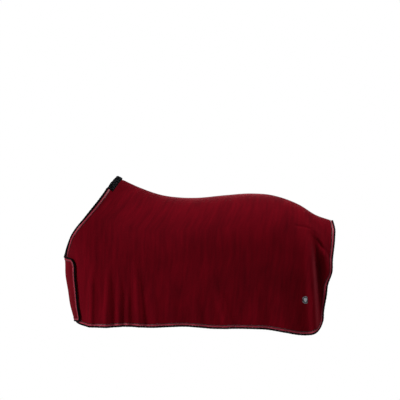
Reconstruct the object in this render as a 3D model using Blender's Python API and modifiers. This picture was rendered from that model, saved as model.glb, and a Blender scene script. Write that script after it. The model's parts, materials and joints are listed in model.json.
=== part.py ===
"""Fleece horse rug with a hook-and-loop chest closure, shaped as it hangs on a horse.

Run it with: blender --background --python part.py
Units are metres, +Z is up, +X runs from chest to tail, and the near (left) side is at -Y.
The origin is on the horse's back, under the spine seam at the lowest point of the back.

The rug is a set of thin layers over a smooth "horse surface". That surface is a height field
over the side view: half_width(x, z) says how far from the middle plane it lies. Each piece
of cloth is a grid of points on that surface, and what is sewn to it takes the same grid,
moved out or in by the thickness of what lies between.
"""

import bpy
import numpy as np
from mathutils import Matrix, Vector

# ---- Driving sizes ------------------------------------------------------------------------
BACK_LENGTH = 1.45  # withers to tail, the size that a rug is sold by
DROP = 0.80  # from the lowest point of the back down to the hem
HALF_WIDTH = 0.295  # of the horse's barrel at its widest

CLOTH = 0.003  # fleece
TAPE = 0.0008  # satin binding
GAP = 0.25 * CLOTH  # air between two sewn layers
EDGE_GAP = 0.001  # between the cloth's edge and the fold of what wraps it
SEAM_GAP = 0.001  # between the two side panels along the spine
HINGE_GAP = 0.002  # between a side panel and its chest flap
BINDING_WIDTH = 0.012  # of binding that shows on each face of the cloth
PIPING_RADIUS = 0.0060
NECK_PIPING_RADIUS = 0.0075  # a thicker cord between the withers pad and the hinges
PIPING_GAP = 0.0010
PIPING_END = 0.004  # a cord stops this far short of the end of its edge
SPINE_TAPE_WIDTH = 0.024

PAD_REACH = 0.20625 * DROP  # from the spine down the neck edge on each side of the withers
PAD_WIDTH = 0.032
PAD_THICKNESS = 0.005
PAD_GAP = 0.001

PATCH_THICKNESS = 0.0012  # hook or loop tape
PATCH_HEIGHT = 0.075
PATCH_GAP = 0.0016  # a flat-faceted patch on rounder cloth
PATCH_SPAN = (-0.46, -0.12)  # round the chest, as shares of the way to the near hinge
UPPER_PATCH_Z = -0.625  # of its middle, as a share of the drop
LOWER_PATCH_Z = -0.825
NEAR_FLAP_END = 0.22  # past the middle, as a share of the way round to the off hinge
OFF_FLAP_END = -0.58  # past the middle, as a share of the way round to the near hinge
OFF_FLAP_CORNER = (0.15, 0.056)  # rounding of its top corner: share of the way round, height
OFF_FLAP_TOP_DROP = 0.008  # from the middle of the chest to that corner
NEAR_FLAP_CORNER = (0.06, 0.024)

BADGE_RADIUS = 0.024
BADGE_THICKNESS = 0.0022
BADGE_BEVEL = 0.0006
BADGE_X = 0.502  # as a share of the back length
BADGE_Z = -0.804  # as a share of the drop
BADGE_GAP = 0.0015  # a flat plate on rounder cloth
WASHER_RADIUS = 0.014
WASHER_THICKNESS = 0.001
POST_RADIUS = 0.0015
POST_SPACING = 0.014
POST_CLEARANCE = 0.0004
POST_END = 0.0015  # of a post standing proud of the washer

# ---- Outlines of the cloth, as shares: x of the back length, z of the drop, y of the width -
SPINE = [(-0.332, 0.1650), (-0.230, 0.080), (-0.141, 0.025), (-0.053, 0.0025), (0.018, 0.0),
         (0.141, 0.020), (0.265, 0.035), (0.345, 0.025), (0.414, -0.008), (0.4765, -0.056),
         (0.5475, -0.136), (0.619, -0.1825)]
NECK_CREST_SLOPE = 1.05  # the top of the horse's neck climbs this steeply from the withers
THROAT = [(-0.970, -0.512), (-0.850, -0.530), (-0.735, -0.5395), (-0.620, -0.550),
          (-0.474, -0.5545), (-0.335, -0.579), (-0.200, -0.609), (0.0, -0.690)]
NECKLINE = [(0.165, -0.332), (0.131, -0.350), (0.0375, -0.384), (-0.059, -0.424),
            (-0.154, -0.468), (-0.250, -0.511), (-0.300, -0.528), (-0.3625, -0.540),
            (-0.474, -0.5545)]
REAR_EDGE = [(-0.1825, 0.619), (-0.244, 0.6265), (-0.3125, 0.625), (-0.500, 0.614),
             (-0.580, 0.6125), (-0.684, 0.593), (-0.771, 0.5885), (-0.916, 0.577),
             (-0.994, 0.569), (-1.022, 0.562), (-1.046, 0.551)]
HEM = [(-0.460, -1.0105), (-0.371, -1.0105), (-0.300, -1.002), (-0.195, -1.009),
       (-0.018, -1.0005), (0.088, -1.0155), (0.230, -1.017), (0.335, -1.0255),
       (0.406, -1.047), (0.476, -1.0705), (0.512, -1.072), (0.534, -1.065), (0.551, -1.046)]
CHEST_HEM = (-0.975, -0.965)  # at the middle of the chest: the near flap's, the off flap's
WIDTH = [(-0.700, 0.76), (-0.552, 0.79), (-0.414, 0.84), (-0.207, 0.94), (0.0, 1.0),
         (0.207, 1.0), (0.345, 0.965), (0.483, 0.845), (0.552, 0.73), (0.640, 0.58)]
ROUNDING_DEPTH = [(-0.700, 0.625), (-0.331, 0.600), (0.0, 0.450), (0.276, 0.400), (0.630, 0.375)]
ROUNDING_POWER = [(-0.700, 1.60), (-0.331, 1.60), (-0.100, 2.0), (0.250, 2.2), (0.630, 2.0)]
CHEST_DEPTH = 0.138  # of the rounding of the chest, front to back, as a share of the length
HINGE_X = -0.455 * BACK_LENGTH  # the chest flaps turn about upright lines at this place
HINGE_CLEARANCE = 0.004  # from the outermost thing beside a hinge out to its axis

# ---- Layers, as distances out from the horse surface ----------------------------------------
CLOTH_INSIDE = TAPE + GAP
CLOTH_OUTSIDE = CLOTH_INSIDE + CLOTH
CLOTH_MIDDLE = (CLOTH_INSIDE + CLOTH_OUTSIDE) / 2
PATCH_STACK = CLOTH + 2 * PATCH_THICKNESS + 3 * PATCH_GAP  # from one flap to the next
FLAP_LIFT = max(PATCH_STACK, 2 * PIPING_RADIUS + 2 * PATCH_GAP)
LIFT_START, LIFT_END = 0.95, NEAR_FLAP_END + 0.14  # shares of the way round to the off hinge
HOOK_INSIDE = CLOTH_OUTSIDE + PATCH_GAP
LOOP_INSIDE = FLAP_LIFT + CLOTH_INSIDE - PATCH_GAP - PATCH_THICKNESS

# ---- Grids ----------------------------------------------------------------------------------
PANEL_COLUMNS = 22
PAD_ROWS = 4
NECK_ROWS = 3
HINGE_ROWS = 7
FLAP_ROWS = 10
NEAR_FLAP_COLUMNS = 13
OFF_FLAP_COLUMNS = 15
PATCH_COLUMNS, PATCH_ROWS = 3, 2
FINE = 300  # points in a curve before it is respaced

FINISHES = {  # linear colour, roughness, metallic
    "fleece": ((0.075, 0.003, 0.007), 0.95, 0.0),
    "satin": ((0.200, 0.030, 0.055), 0.45, 0.0),
    "black_cord": ((0.006, 0.006, 0.006), 0.60, 0.0),
    "plush": ((0.004, 0.004, 0.005), 1.0, 0.0),
    "seam_tape": ((0.050, 0.004, 0.008), 0.80, 0.0),
    "hook_and_loop": ((0.008, 0.008, 0.008), 0.90, 0.0),
    "gunmetal": ((0.110, 0.115, 0.125), 0.35, 1.0),
}


# ---- Curves -----------------------------------------------------------------------------------
def unit(v):
    return v / np.linalg.norm(v, axis=-1, keepdims=True)


def smooth(points, first_size, second_size):
    """A smooth function through points given as shares of two sizes."""
    at, value = np.array(sorted(points), float).T
    at, value = at * first_size, value * second_size
    slope = np.gradient(value, at)

    def curve(q):
        q = np.asarray(q, float)
        i = np.clip(np.searchsorted(at, q) - 1, 0, len(at) - 2)
        h = at[i + 1] - at[i]
        t = np.clip((q - at[i]) / h, 0, 1)
        return ((2 * t**3 - 3 * t**2 + 1) * value[i] + (t**3 - 2 * t**2 + t) * h * slope[i]
                + (3 * t**2 - 2 * t**3) * value[i + 1] + (t**3 - t**2) * h * slope[i + 1])

    return curve


spine_z = smooth(SPINE, BACK_LENGTH, DROP)
throat_x = smooth(THROAT, DROP, BACK_LENGTH)
neckline_x = smooth(NECKLINE, DROP, BACK_LENGTH)
rear_x = smooth(REAR_EDGE, DROP, BACK_LENGTH)
hem_z = smooth(HEM, BACK_LENGTH, DROP)
width_share = smooth(WIDTH, BACK_LENGTH, 1)
rounding_depth = smooth(ROUNDING_DEPTH, BACK_LENGTH, DROP)
rounding_power = smooth(ROUNDING_POWER, BACK_LENGTH, 1)

WITHERS_X, WITHERS_Z = SPINE[0][0] * BACK_LENGTH, SPINE[0][1] * DROP
TAIL_X, TAIL_Z = SPINE[-1][0] * BACK_LENGTH, SPINE[-1][1] * DROP
CHEST_Z = NECKLINE[-1][0] * DROP  # where the neckline crosses the middle of the chest
CORNER_X, CORNER_Z = HEM[-1][0] * BACK_LENGTH, HEM[-1][1] * DROP


def length_along(line):
    """The distance from a line's start to each of its points."""
    steps = np.linalg.norm(np.diff(line, axis=0), axis=1)
    return np.concatenate([[0], np.cumsum(steps)])


def respaced(line, along, shares):
    """The line's values at these shares of the length in along."""
    wanted = np.asarray(shares) * along[-1]
    return np.stack([np.interp(wanted, along, column) for column in line.T], axis=1)


# ---- The horse surface --------------------------------------------------------------------------
def rounded(q, power):
    """Rises from 0 to 1 as q does, steeply at first, like the side of a superellipse."""
    return (1 - (1 - np.clip(q, 0, 1)) ** power) ** (1 / power)


def crest_z(x):
    """The horse's top line: its spine, and ahead of the withers the crest of its neck."""
    return np.where(x < WITHERS_X, WITHERS_Z + (WITHERS_X - x) * NECK_CREST_SLOPE, spine_z(x))


def half_width(x, z):
    """How far the horse surface lies from the middle plane at a place in the side view."""
    top = rounded((crest_z(x) - z) / rounding_depth(x), rounding_power(x))
    front = rounded((x - throat_x(z)) / (CHEST_DEPTH * BACK_LENGTH), 2.0)
    return HALF_WIDTH * width_share(x) * top * front


def side_point(side):
    """Maps a place (x, z) in the side view to the near (side -1) or off (side 1) surface."""
    def point(flat):
        x, z = flat[..., 0], flat[..., 1]
        return np.stack([x, side * (half_width(x, z) + SEAM_GAP / 2), z], axis=-1)
    return point


def chest_point(flat):
    """Maps (u, z) to the chest: u is -1 at the near hinge, 0 in the middle, 1 at the off one."""
    u, z = flat[..., 0], flat[..., 1]
    forward = throat_x(z)
    x = forward + (HINGE_X - forward) * (1 - np.cos(u * np.pi / 2))
    return np.stack([x, np.sign(u) * half_width(x, z), z], axis=-1)


# ---- Grids of points ------------------------------------------------------------------------------
def spread(curve, surface, shares):
    """Points of a flat curve whose places on the surface are at these shares of its length."""
    return respaced(curve, length_along(surface(curve)), shares)


def filled(surface, top, bottom, front, rear, column_shares, row_shares):
    """A grid (columns, rows, 3) on the surface between four flat curves.

    Each column blends the edges as a Coons patch does, measured by how far down the front
    curve's points are, and then has its rows respaced along the surface.
    """
    top = spread(top, surface, column_shares)
    bottom = spread(bottom, surface, column_shares)
    down = ((front[:, 1] - front[0, 1]) / (front[-1, 1] - front[0, 1]))[:, None]
    front_bulge = front - (front[0] + (front[-1] - front[0]) * down)
    rear_bulge = rear - (rear[0] + (rear[-1] - rear[0]) * down)
    columns = []
    for start, end, share in zip(top, bottom, column_shares):
        flat = start + (end - start) * down + front_bulge * (1 - share) + rear_bulge * share
        line = surface(flat)
        columns.append(respaced(line, length_along(line), row_shares))
    return np.stack(columns)


def beside_edge(grid, distances):
    """The grid with lines of points added at these distances in from its first column."""
    edge, inner = grid[0], grid[1]
    across = unit(inner - edge)
    slant = np.linalg.norm(np.cross(unit(np.gradient(edge, axis=0)), across), axis=-1)
    lines = [edge + across * (d / slant)[:, None] for d in distances]
    return np.concatenate([edge[None], np.stack(lines), grid[1:]])


def with_lines(grid, front=(), rear=(), top=(), bottom=()):
    """The grid with lines of points added at distances in from its four edges."""
    if front:
        grid = beside_edge(grid, front)
    if rear:
        grid = beside_edge(grid[::-1], rear)[::-1]
    grid = grid.transpose(1, 0, 2)
    if top:
        grid = beside_edge(grid, top)
    if bottom:
        grid = beside_edge(grid[::-1], bottom)[::-1]
    return grid.transpose(1, 0, 2)


def normals(grid, turn):
    """Unit normals at a grid's points, averaged over the faces round each one."""
    face = unit(np.cross(grid[1:, 1:] - grid[:-1, :-1], grid[:-1, 1:] - grid[1:, :-1])) * turn
    total = np.zeros_like(grid)
    total[1:, 1:] += face
    total[:-1, 1:] += face
    total[1:, :-1] += face
    total[:-1, :-1] += face
    return unit(total)


def down_from(height_start, height_end):
    """Heights from one value to another, closer together at the start, where cloth is round."""
    return height_start + (height_end - height_start) * np.linspace(0, 1, FINE) ** 2


def side_grid(side):
    """A side panel from its neckline and hinge line back to its rear edge, and its rows.

    Returns the grid, the row where the withers pad ends and the row where the hinge starts.
    """
    surface = side_point(side)
    front_z = down_from(WITHERS_Z, hem_z(HINGE_X))
    front = np.stack([np.maximum(neckline_x(front_z), HINGE_X), front_z], axis=1)
    rear_z = down_from(TAIL_Z, CORNER_Z)
    rear = np.stack([rear_x(rear_z), rear_z], axis=1)
    top_x = np.linspace(WITHERS_X, TAIL_X, FINE)
    top = np.stack([top_x, spine_z(top_x)], axis=1)
    bottom_x = np.linspace(HINGE_X, CORNER_X, FINE)
    bottom = np.stack([bottom_x, hem_z(bottom_x)], axis=1)
    along = length_along(surface(front))
    neck = along[np.argmax(front[:, 0] <= HINGE_X)]
    rows = np.concatenate([np.linspace(0, PAD_REACH, PAD_ROWS + 1),
                           np.linspace(PAD_REACH, neck, NECK_ROWS + 1)[1:],
                           np.linspace(neck, along[-1], HINGE_ROWS + 1)[1:]]) / along[-1]
    columns = np.linspace(0, 1, PANEL_COLUMNS + 1)
    grid = filled(surface, top, bottom, front, rear, columns, rows)
    grid = with_lines(grid, front=(BINDING_WIDTH, PAD_WIDTH), rear=(BINDING_WIDTH,),
                      top=(SPINE_TAPE_WIDTH / 2,), bottom=(BINDING_WIDTH,))
    pad_row, hinge_row = 1 + PAD_ROWS, 1 + PAD_ROWS + NECK_ROWS
    grid[0, hinge_row:, 0] += HINGE_GAP / 2
    return grid, pad_row, hinge_row


def neck_height(u):
    """The height of the neckline at a place round the chest."""
    z = np.linspace(WITHERS_Z, CHEST_Z, FINE)
    share = (neckline_x(z) - throat_x(z)) / (HINGE_X - throat_x(z))
    place = np.arccos(1 - np.clip(share, 0, 1)) * 2 / np.pi
    return np.interp(-np.abs(u), -place, z)


def chest_grid(side, end, middle_hem, corner, lift):
    """A chest flap from its hinge at u = side round to its free edge at u = end.

    corner is the rounding of its top corner in (u, z), and lift(u) is how far the flap's
    layers stand off the horse surface.
    """
    turn = np.sign(end)
    u = np.linspace(side, end - turn * corner[0], FINE)
    past = np.clip(u / u[-1], 0, 1)
    heights = np.where(past > 0, CHEST_Z - OFF_FLAP_TOP_DROP * past, neck_height(u))
    flat_top = np.stack([u, heights], axis=1)
    angle = np.linspace(np.pi / 2, 0, FINE)
    arc = flat_top[-1] - (0, corner[1]) + np.stack(
        [turn * corner[0] * np.cos(angle), corner[1] * np.sin(angle)], axis=1)
    half = FINE // 2
    top = np.concatenate([flat_top, arc[1:half]])
    edge = np.concatenate([arc[half - 1:], [[end, middle_hem]]])
    bottom_u = np.linspace(side, end, FINE)
    bottom = np.stack([bottom_u, np.interp(bottom_u * side, [end * side, 0, 1],
                                           [middle_hem, middle_hem, hem_z(HINGE_X)])], axis=1)
    front_z = np.linspace(top[0, 1], bottom[0, 1], FINE)
    front = np.stack([np.full(FINE, float(side)), front_z], axis=1)
    rear_z = np.linspace(edge[0, 1], edge[-1, 1], FINE)
    rear = np.stack([np.interp(-rear_z, -edge[:, 1], edge[:, 0]), rear_z], axis=1)
    steps = OFF_FLAP_COLUMNS if side > 0 else NEAR_FLAP_COLUMNS
    columns, rows = np.linspace(0, 1, steps + 1), np.linspace(0, 1, FLAP_ROWS + 1)
    grid = filled(chest_point, top, bottom, front, rear, columns, rows)
    around = side + (end - side) * columns
    grid = grid + normals(grid, -side) * lift(around)[:, None, None]
    grid = with_lines(grid, rear=(BINDING_WIDTH,), top=(BINDING_WIDTH,), bottom=(BINDING_WIDTH,))
    grid[0, :, 0] -= HINGE_GAP / 2
    return grid


def no_lift(u):
    return np.zeros_like(u)


def flap_lift(u):
    """The off flap rises from the horse surface at its hinge to lie over the near flap."""
    t = np.clip((LIFT_START - u) / (LIFT_START - LIFT_END), 0, 1)
    return FLAP_LIFT * (3 * t**2 - 2 * t**3)


# ---- Blender objects --------------------------------------------------------------------------------
def new_collection(name):
    collection = bpy.data.collections.new(name)
    bpy.context.scene.collection.children.link(collection)
    return collection


def new_material(name, colour, roughness, metallic):
    material = bpy.data.materials.new(name)
    material.use_nodes = True
    shader = material.node_tree.nodes["Principled BSDF"]
    shader.inputs["Base Color"].default_value = (*colour, 1.0)
    shader.inputs["Roughness"].default_value = roughness
    shader.inputs["Metallic"].default_value = metallic
    return material


def new_object(name, data, finish, hinge=None):
    thing = bpy.data.objects.new(name, data)
    data.materials.append(new_material(f"{name}_{finish}", *FINISHES[finish]))
    rug.objects.link(thing)
    if hinge:
        thing.parent = hinge
        thing.matrix_parent_inverse = Matrix.Translation(-hinge.location)
    return thing


def new_cutter(name, mesh):
    cutter = bpy.data.objects.new(name, mesh)
    cutter.hide_render = True
    cutter.display_type = "WIRE"
    cutters.objects.link(cutter)
    return cutter


def new_hinge(name, side):
    """An upright axis beside the outermost thing on a side panel's hinge line."""
    heights = np.linspace(hem_z(HINGE_X), neck_height(1), FINE)
    widest = half_width(np.full(FINE, HINGE_X), heights).max()
    outside = CLOTH_MIDDLE + PIPING_RADIUS + HINGE_CLEARANCE
    empty = bpy.data.objects.new(name, None)
    empty.location = (HINGE_X, side * (widest + outside), 0)
    rug.objects.link(empty)
    return empty


def grid_triangles(shape, turn):
    """Two triangles for each cell of a grid, all split along the same diagonal."""
    index = np.arange(shape[0] * shape[1]).reshape(shape[:2])
    a, b, c, d = index[:-1, :-1], index[1:, :-1], index[1:, 1:], index[:-1, 1:]
    triangles = np.concatenate([np.stack([a, b, c], -1), np.stack([a, c, d], -1)]).reshape(-1, 3)
    return triangles if turn > 0 else triangles[:, ::-1]


def solidify(thing, thickness):
    wall = thing.modifiers.new("Thickness", "SOLIDIFY")
    wall.thickness = thickness
    wall.offset = 1.0
    wall.use_even_offset = True


def add_sheet(name, grid, turn, outward, thickness, finish, hinge=None):
    """A sheet whose inner face is the grid moved outward, and whose thickness goes outward."""
    inner = grid + normals(grid, turn) * outward
    mesh = bpy.data.meshes.new(name)
    mesh.from_pydata(inner.reshape(-1, 3).tolist(), [], grid_triangles(grid.shape, turn).tolist())
    sheet = new_object(name, mesh, finish, hinge)
    solidify(sheet, thickness)
    return sheet


def outward_from_edge(grid, out, route):
    """Vectors from a grid's edge, in its own surface, one unit out from both runs beside it.

    route lists the edge's (column, row) pairs in order.
    """
    at = tuple(np.array(route).T)
    line = grid[at]
    run = unit(np.diff(line, axis=0))
    beside = unit(np.cross(run, (out[at][1:] + out[at][:-1]) / 2))
    to_middle = grid.mean(axis=(0, 1)) - (line[1:] + line[:-1]) / 2
    beside = beside * -np.sign(np.median((to_middle * beside).sum(-1)))
    before = np.concatenate([beside[:1], beside])
    after = np.concatenate([beside, beside[-1:]])
    return (before + after) / (1 + (before * after).sum(-1, keepdims=True))


def runs_with(triangles, edge):
    """Whether the triangles pass along an edge in the order in which its points are listed."""
    sides = np.stack([triangles, np.roll(triangles, -1, axis=1)], axis=-1).reshape(-1, 2)
    return bool((sides == edge[:2]).all(axis=1).any())


def add_channel(name, grid, turn, covered, route, gap, wall, finish, hinge=None):
    """A folded strip over a cloth's edge: a face outside, a face inside and the fold between.

    covered marks the grid's points that the strip lies on, and route runs along the edge.
    The strip keeps gap from both faces of the cloth, and wall is its own thickness.
    """
    out = normals(grid, turn)
    beyond = np.zeros_like(grid)
    beyond[tuple(np.array(route).T)] = outward_from_edge(grid, out, route) * EDGE_GAP
    flat, up = (grid + beyond).reshape(-1, 3), out.reshape(-1, 3)
    points = np.concatenate([flat + up * (CLOTH_OUTSIDE + gap), flat + up * (CLOTH_INSIDE - gap)])
    outer = grid_triangles(grid.shape, turn)
    outer = outer[covered.ravel()[outer].all(axis=1)]
    edge = np.ravel_multi_index(np.array(route).T, grid.shape[:2])
    if not runs_with(outer, edge):
        edge = edge[::-1]
    below = len(flat)
    fold = np.stack([edge[1:], edge[:-1], edge[:-1] + below, edge[1:] + below], axis=1)
    faces = outer.tolist() + (outer[:, ::-1] + below).tolist() + fold.tolist()
    used = sorted({corner for face in faces for corner in face})
    renumbered = {old: new for new, old in enumerate(used)}
    mesh = bpy.data.meshes.new(name)
    mesh.from_pydata(points[used].tolist(), [], [[renumbered[i] for i in face] for face in faces])
    strip = new_object(name, mesh, finish, hinge)
    solidify(strip, wall)
    return strip


def add_piping(name, grid, turn, route, radius, hinge=None):
    """A round cord that lies against the fold of a binding, as a curve with filled ends."""
    out = normals(grid, turn)
    at = tuple(np.array(route).T)
    reach = EDGE_GAP + TAPE + PIPING_GAP + radius
    line = grid[at] + outward_from_edge(grid, out, route) * reach + out[at] * CLOTH_MIDDLE
    along = length_along(line)
    kept = (along > 2 * PIPING_END) & (along < along[-1] - 2 * PIPING_END)
    shares = np.concatenate([[PIPING_END], along[kept], [along[-1] - PIPING_END]]) / along[-1]
    line = respaced(line, along, shares)
    curve = bpy.data.curves.new(name, "CURVE")
    curve.dimensions = "3D"
    curve.bevel_depth = radius
    curve.bevel_resolution = 2
    curve.use_fill_caps = True
    spline = curve.splines.new("POLY")
    spline.points.add(len(line) - 1)
    spline.points.foreach_set("co", np.column_stack([line, np.ones(len(line))]).ravel())
    return new_object(name, curve, "black_cord", hinge)


# ---- The pieces ---------------------------------------------------------------------------------------
def hem_and_rear_route(grid):
    """Along the hem from the hinge, round the rear corner and up the rear edge."""
    last_column, last_row = grid.shape[0] - 1, grid.shape[1] - 1
    hem = [(i, last_row) for i in range(last_column + 1)]
    return hem + [(last_column, j) for j in range(last_row - 1, -1, -1)]


def add_side(word, side):
    """A side panel with its hem binding, neck binding and their piping."""
    grid, pad_row, hinge_row = side_grid(side)
    panel = add_sheet(f"{word}_side_panel", grid, side, CLOTH_INSIDE, CLOTH, "fleece")
    covered = np.zeros(grid.shape[:2], bool)
    covered[:, -2:] = True
    covered[-2:, :] = True
    route = hem_and_rear_route(grid)
    add_channel(f"{word}_hem_binding", grid, side, covered, route, GAP, TAPE, "satin")
    add_piping(f"{word}_hem_piping", grid, side, route, PIPING_RADIUS)
    neck = grid[:, pad_row:hinge_row + 1].copy()
    neck[:, 0] += unit(neck[:, 1] - neck[:, 0]) * SEAM_GAP
    covered = np.zeros(neck.shape[:2], bool)
    covered[:2] = True
    route = [(0, j) for j in range(neck.shape[1])]
    add_channel(f"{word}_neck_binding", neck, side, covered, route, GAP, TAPE, "satin")
    add_piping(f"{word}_neck_piping", neck, side, route, NECK_PIPING_RADIUS)
    return panel, grid, pad_row


def joined_over_spine(near, off):
    """One grid from a patch beside the spine on the near side and its match on the off side."""
    middle = (near[:, :1] + off[:, :1]) / 2
    return np.concatenate([near[:, :0:-1], middle, off[:, 1:]], axis=1)


def add_spine_tape(near, off):
    """A tape inside the rug that covers the spine seam from the pad to the rear binding."""
    strip = joined_over_spine(near[2:-1, :2], off[2:-1, :2])
    strip[0] += unit(strip[1] - strip[0]) * SEAM_GAP
    strip[-1] += unit(strip[-2] - strip[-1]) * SEAM_GAP
    add_sheet("spine_seam_tape", strip, 1, 0.0, TAPE, "seam_tape")


def add_withers_pad(near, off, pad_row):
    """A plush pad folded over the neck edge where it rests on the withers."""
    patch = joined_over_spine(near[:3, :pad_row + 1], off[:3, :pad_row + 1])
    covered = np.ones(patch.shape[:2], bool)
    route = [(0, j) for j in range(patch.shape[1])]
    add_channel("withers_pad", patch, 1, covered, route, PAD_GAP, PAD_THICKNESS, "plush")


def add_flap(word, side, end, middle_hem, corner, lift):
    """A chest flap with its binding and piping, hung on its hinge."""
    hinge = new_hinge(f"{word}_flap_hinge", side)
    grid = chest_grid(side, end, middle_hem, corner, lift)
    turn = -side
    add_sheet(f"{word}_chest_flap", grid, turn, CLOTH_INSIDE, CLOTH, "fleece", hinge)
    covered = np.zeros(grid.shape[:2], bool)
    covered[:, -2:] = True
    covered[:, :2] = True
    covered[-2:, :] = True
    route = hem_and_rear_route(grid) + [(i, 0) for i in range(grid.shape[0] - 2, -1, -1)]
    add_channel(f"{word}_flap_binding", grid, turn, covered, route, GAP, TAPE, "satin", hinge)
    add_piping(f"{word}_flap_piping", grid, turn, route, PIPING_RADIUS, hinge)
    return hinge


def add_patches(word, height, hook_hinge, loop_hinge):
    """A pair of patches: hook tape on the near flap, and loop tape inside the off flap."""
    u = np.linspace(*PATCH_SPAN, PATCH_COLUMNS + 1)
    z = height + PATCH_HEIGHT * np.linspace(0.5, -0.5, PATCH_ROWS + 1)
    grid = chest_point(np.stack(np.meshgrid(u, z, indexing="ij"), axis=-1))
    for kind, inside, hinge in (("hook", HOOK_INSIDE, hook_hinge), ("loop", LOOP_INSIDE, loop_hinge)):
        add_sheet(f"{word}_{kind}_patch", grid, 1, inside, PATCH_THICKNESS, "hook_and_loop", hinge)


def cylinder(radius, depth, centre_x, centre_z, sides):
    """A closed cylinder mesh along Z, from a primitive."""
    bpy.ops.mesh.primitive_cylinder_add(vertices=sides, radius=radius, depth=depth)
    made = bpy.context.object
    mesh = made.data
    bpy.data.objects.remove(made)
    mesh.transform(Matrix.Translation((centre_x, 0, centre_z)))
    return mesh


def cut_or_join(thing, other, operation):
    step = thing.modifiers.new(operation.title(), "BOOLEAN")
    step.operation = operation
    step.object = other


def badge_frame():
    """The matrix of a place on the near surface, with its Z axis pointing out of the rug."""
    x, z = BADGE_X * BACK_LENGTH, BADGE_Z * DROP
    step = BADGE_RADIUS / 2
    beside = np.array([[x - step, z], [x + step, z], [x, z - step], [x, z + step]])
    left, right, low, high = side_point(-1)(beside)
    out = Vector(np.cross(right - left, high - low)).normalized()
    frame = out.to_track_quat("Z", "Y").to_matrix().to_4x4()
    frame.translation = Vector(side_point(-1)(np.array([x, z])))
    return frame


def add_badge(panel):
    """A round metal badge on the near side, held by two posts through the cloth and a washer."""
    plate_z = CLOTH_OUTSIDE + BADGE_GAP + BADGE_THICKNESS / 2
    washer_z = CLOTH_INSIDE - BADGE_GAP - WASHER_THICKNESS / 2
    post_low = washer_z - WASHER_THICKNESS / 2 - POST_END
    post_length = plate_z - post_low
    post_z = (plate_z + post_low) / 2
    plate = new_object("badge_plate", cylinder(BADGE_RADIUS, BADGE_THICKNESS, 0, plate_z, 40),
                       "gunmetal")
    rim = plate.modifiers.new("Rim", "BEVEL")
    rim.width = BADGE_BEVEL
    rim.segments = 2
    washer = new_object("badge_washer", cylinder(WASHER_RADIUS, WASHER_THICKNESS, 0, washer_z, 24),
                        "gunmetal")
    holder = badge_frame()
    plate.matrix_world = holder
    washer.matrix_world = holder
    for word, place in (("front", -POST_SPACING / 2), ("rear", POST_SPACING / 2)):
        post = new_cutter(f"badge_{word}_post", cylinder(POST_RADIUS, post_length, place, post_z, 12))
        hole = new_cutter(f"badge_{word}_hole", cylinder(POST_RADIUS + POST_CLEARANCE,
                                                         post_length * 2, place, post_z, 12))
        post.matrix_world = holder
        hole.matrix_world = holder
        cut_or_join(plate, post, "UNION")
        cut_or_join(washer, hole, "DIFFERENCE")
        cut_or_join(panel, hole, "DIFFERENCE")


for old in list(bpy.data.objects):
    bpy.data.objects.remove(old, do_unlink=True)
rug = new_collection("fleece_rug")
cutters = new_collection("cutters")

near_panel, near_grid, withers_row = add_side("near", -1)
off_panel, off_grid, withers_row = add_side("off", 1)
add_spine_tape(near_grid, off_grid)
add_withers_pad(near_grid, off_grid, withers_row)
near_hinge = add_flap("near", -1, NEAR_FLAP_END, CHEST_HEM[0] * DROP, NEAR_FLAP_CORNER, no_lift)
off_hinge = add_flap("off", 1, OFF_FLAP_END, CHEST_HEM[1] * DROP, OFF_FLAP_CORNER, flap_lift)
add_patches("upper", UPPER_PATCH_Z * DROP, near_hinge, off_hinge)
add_patches("lower", LOWER_PATCH_Z * DROP, near_hinge, off_hinge)
add_badge(near_panel)
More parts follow.
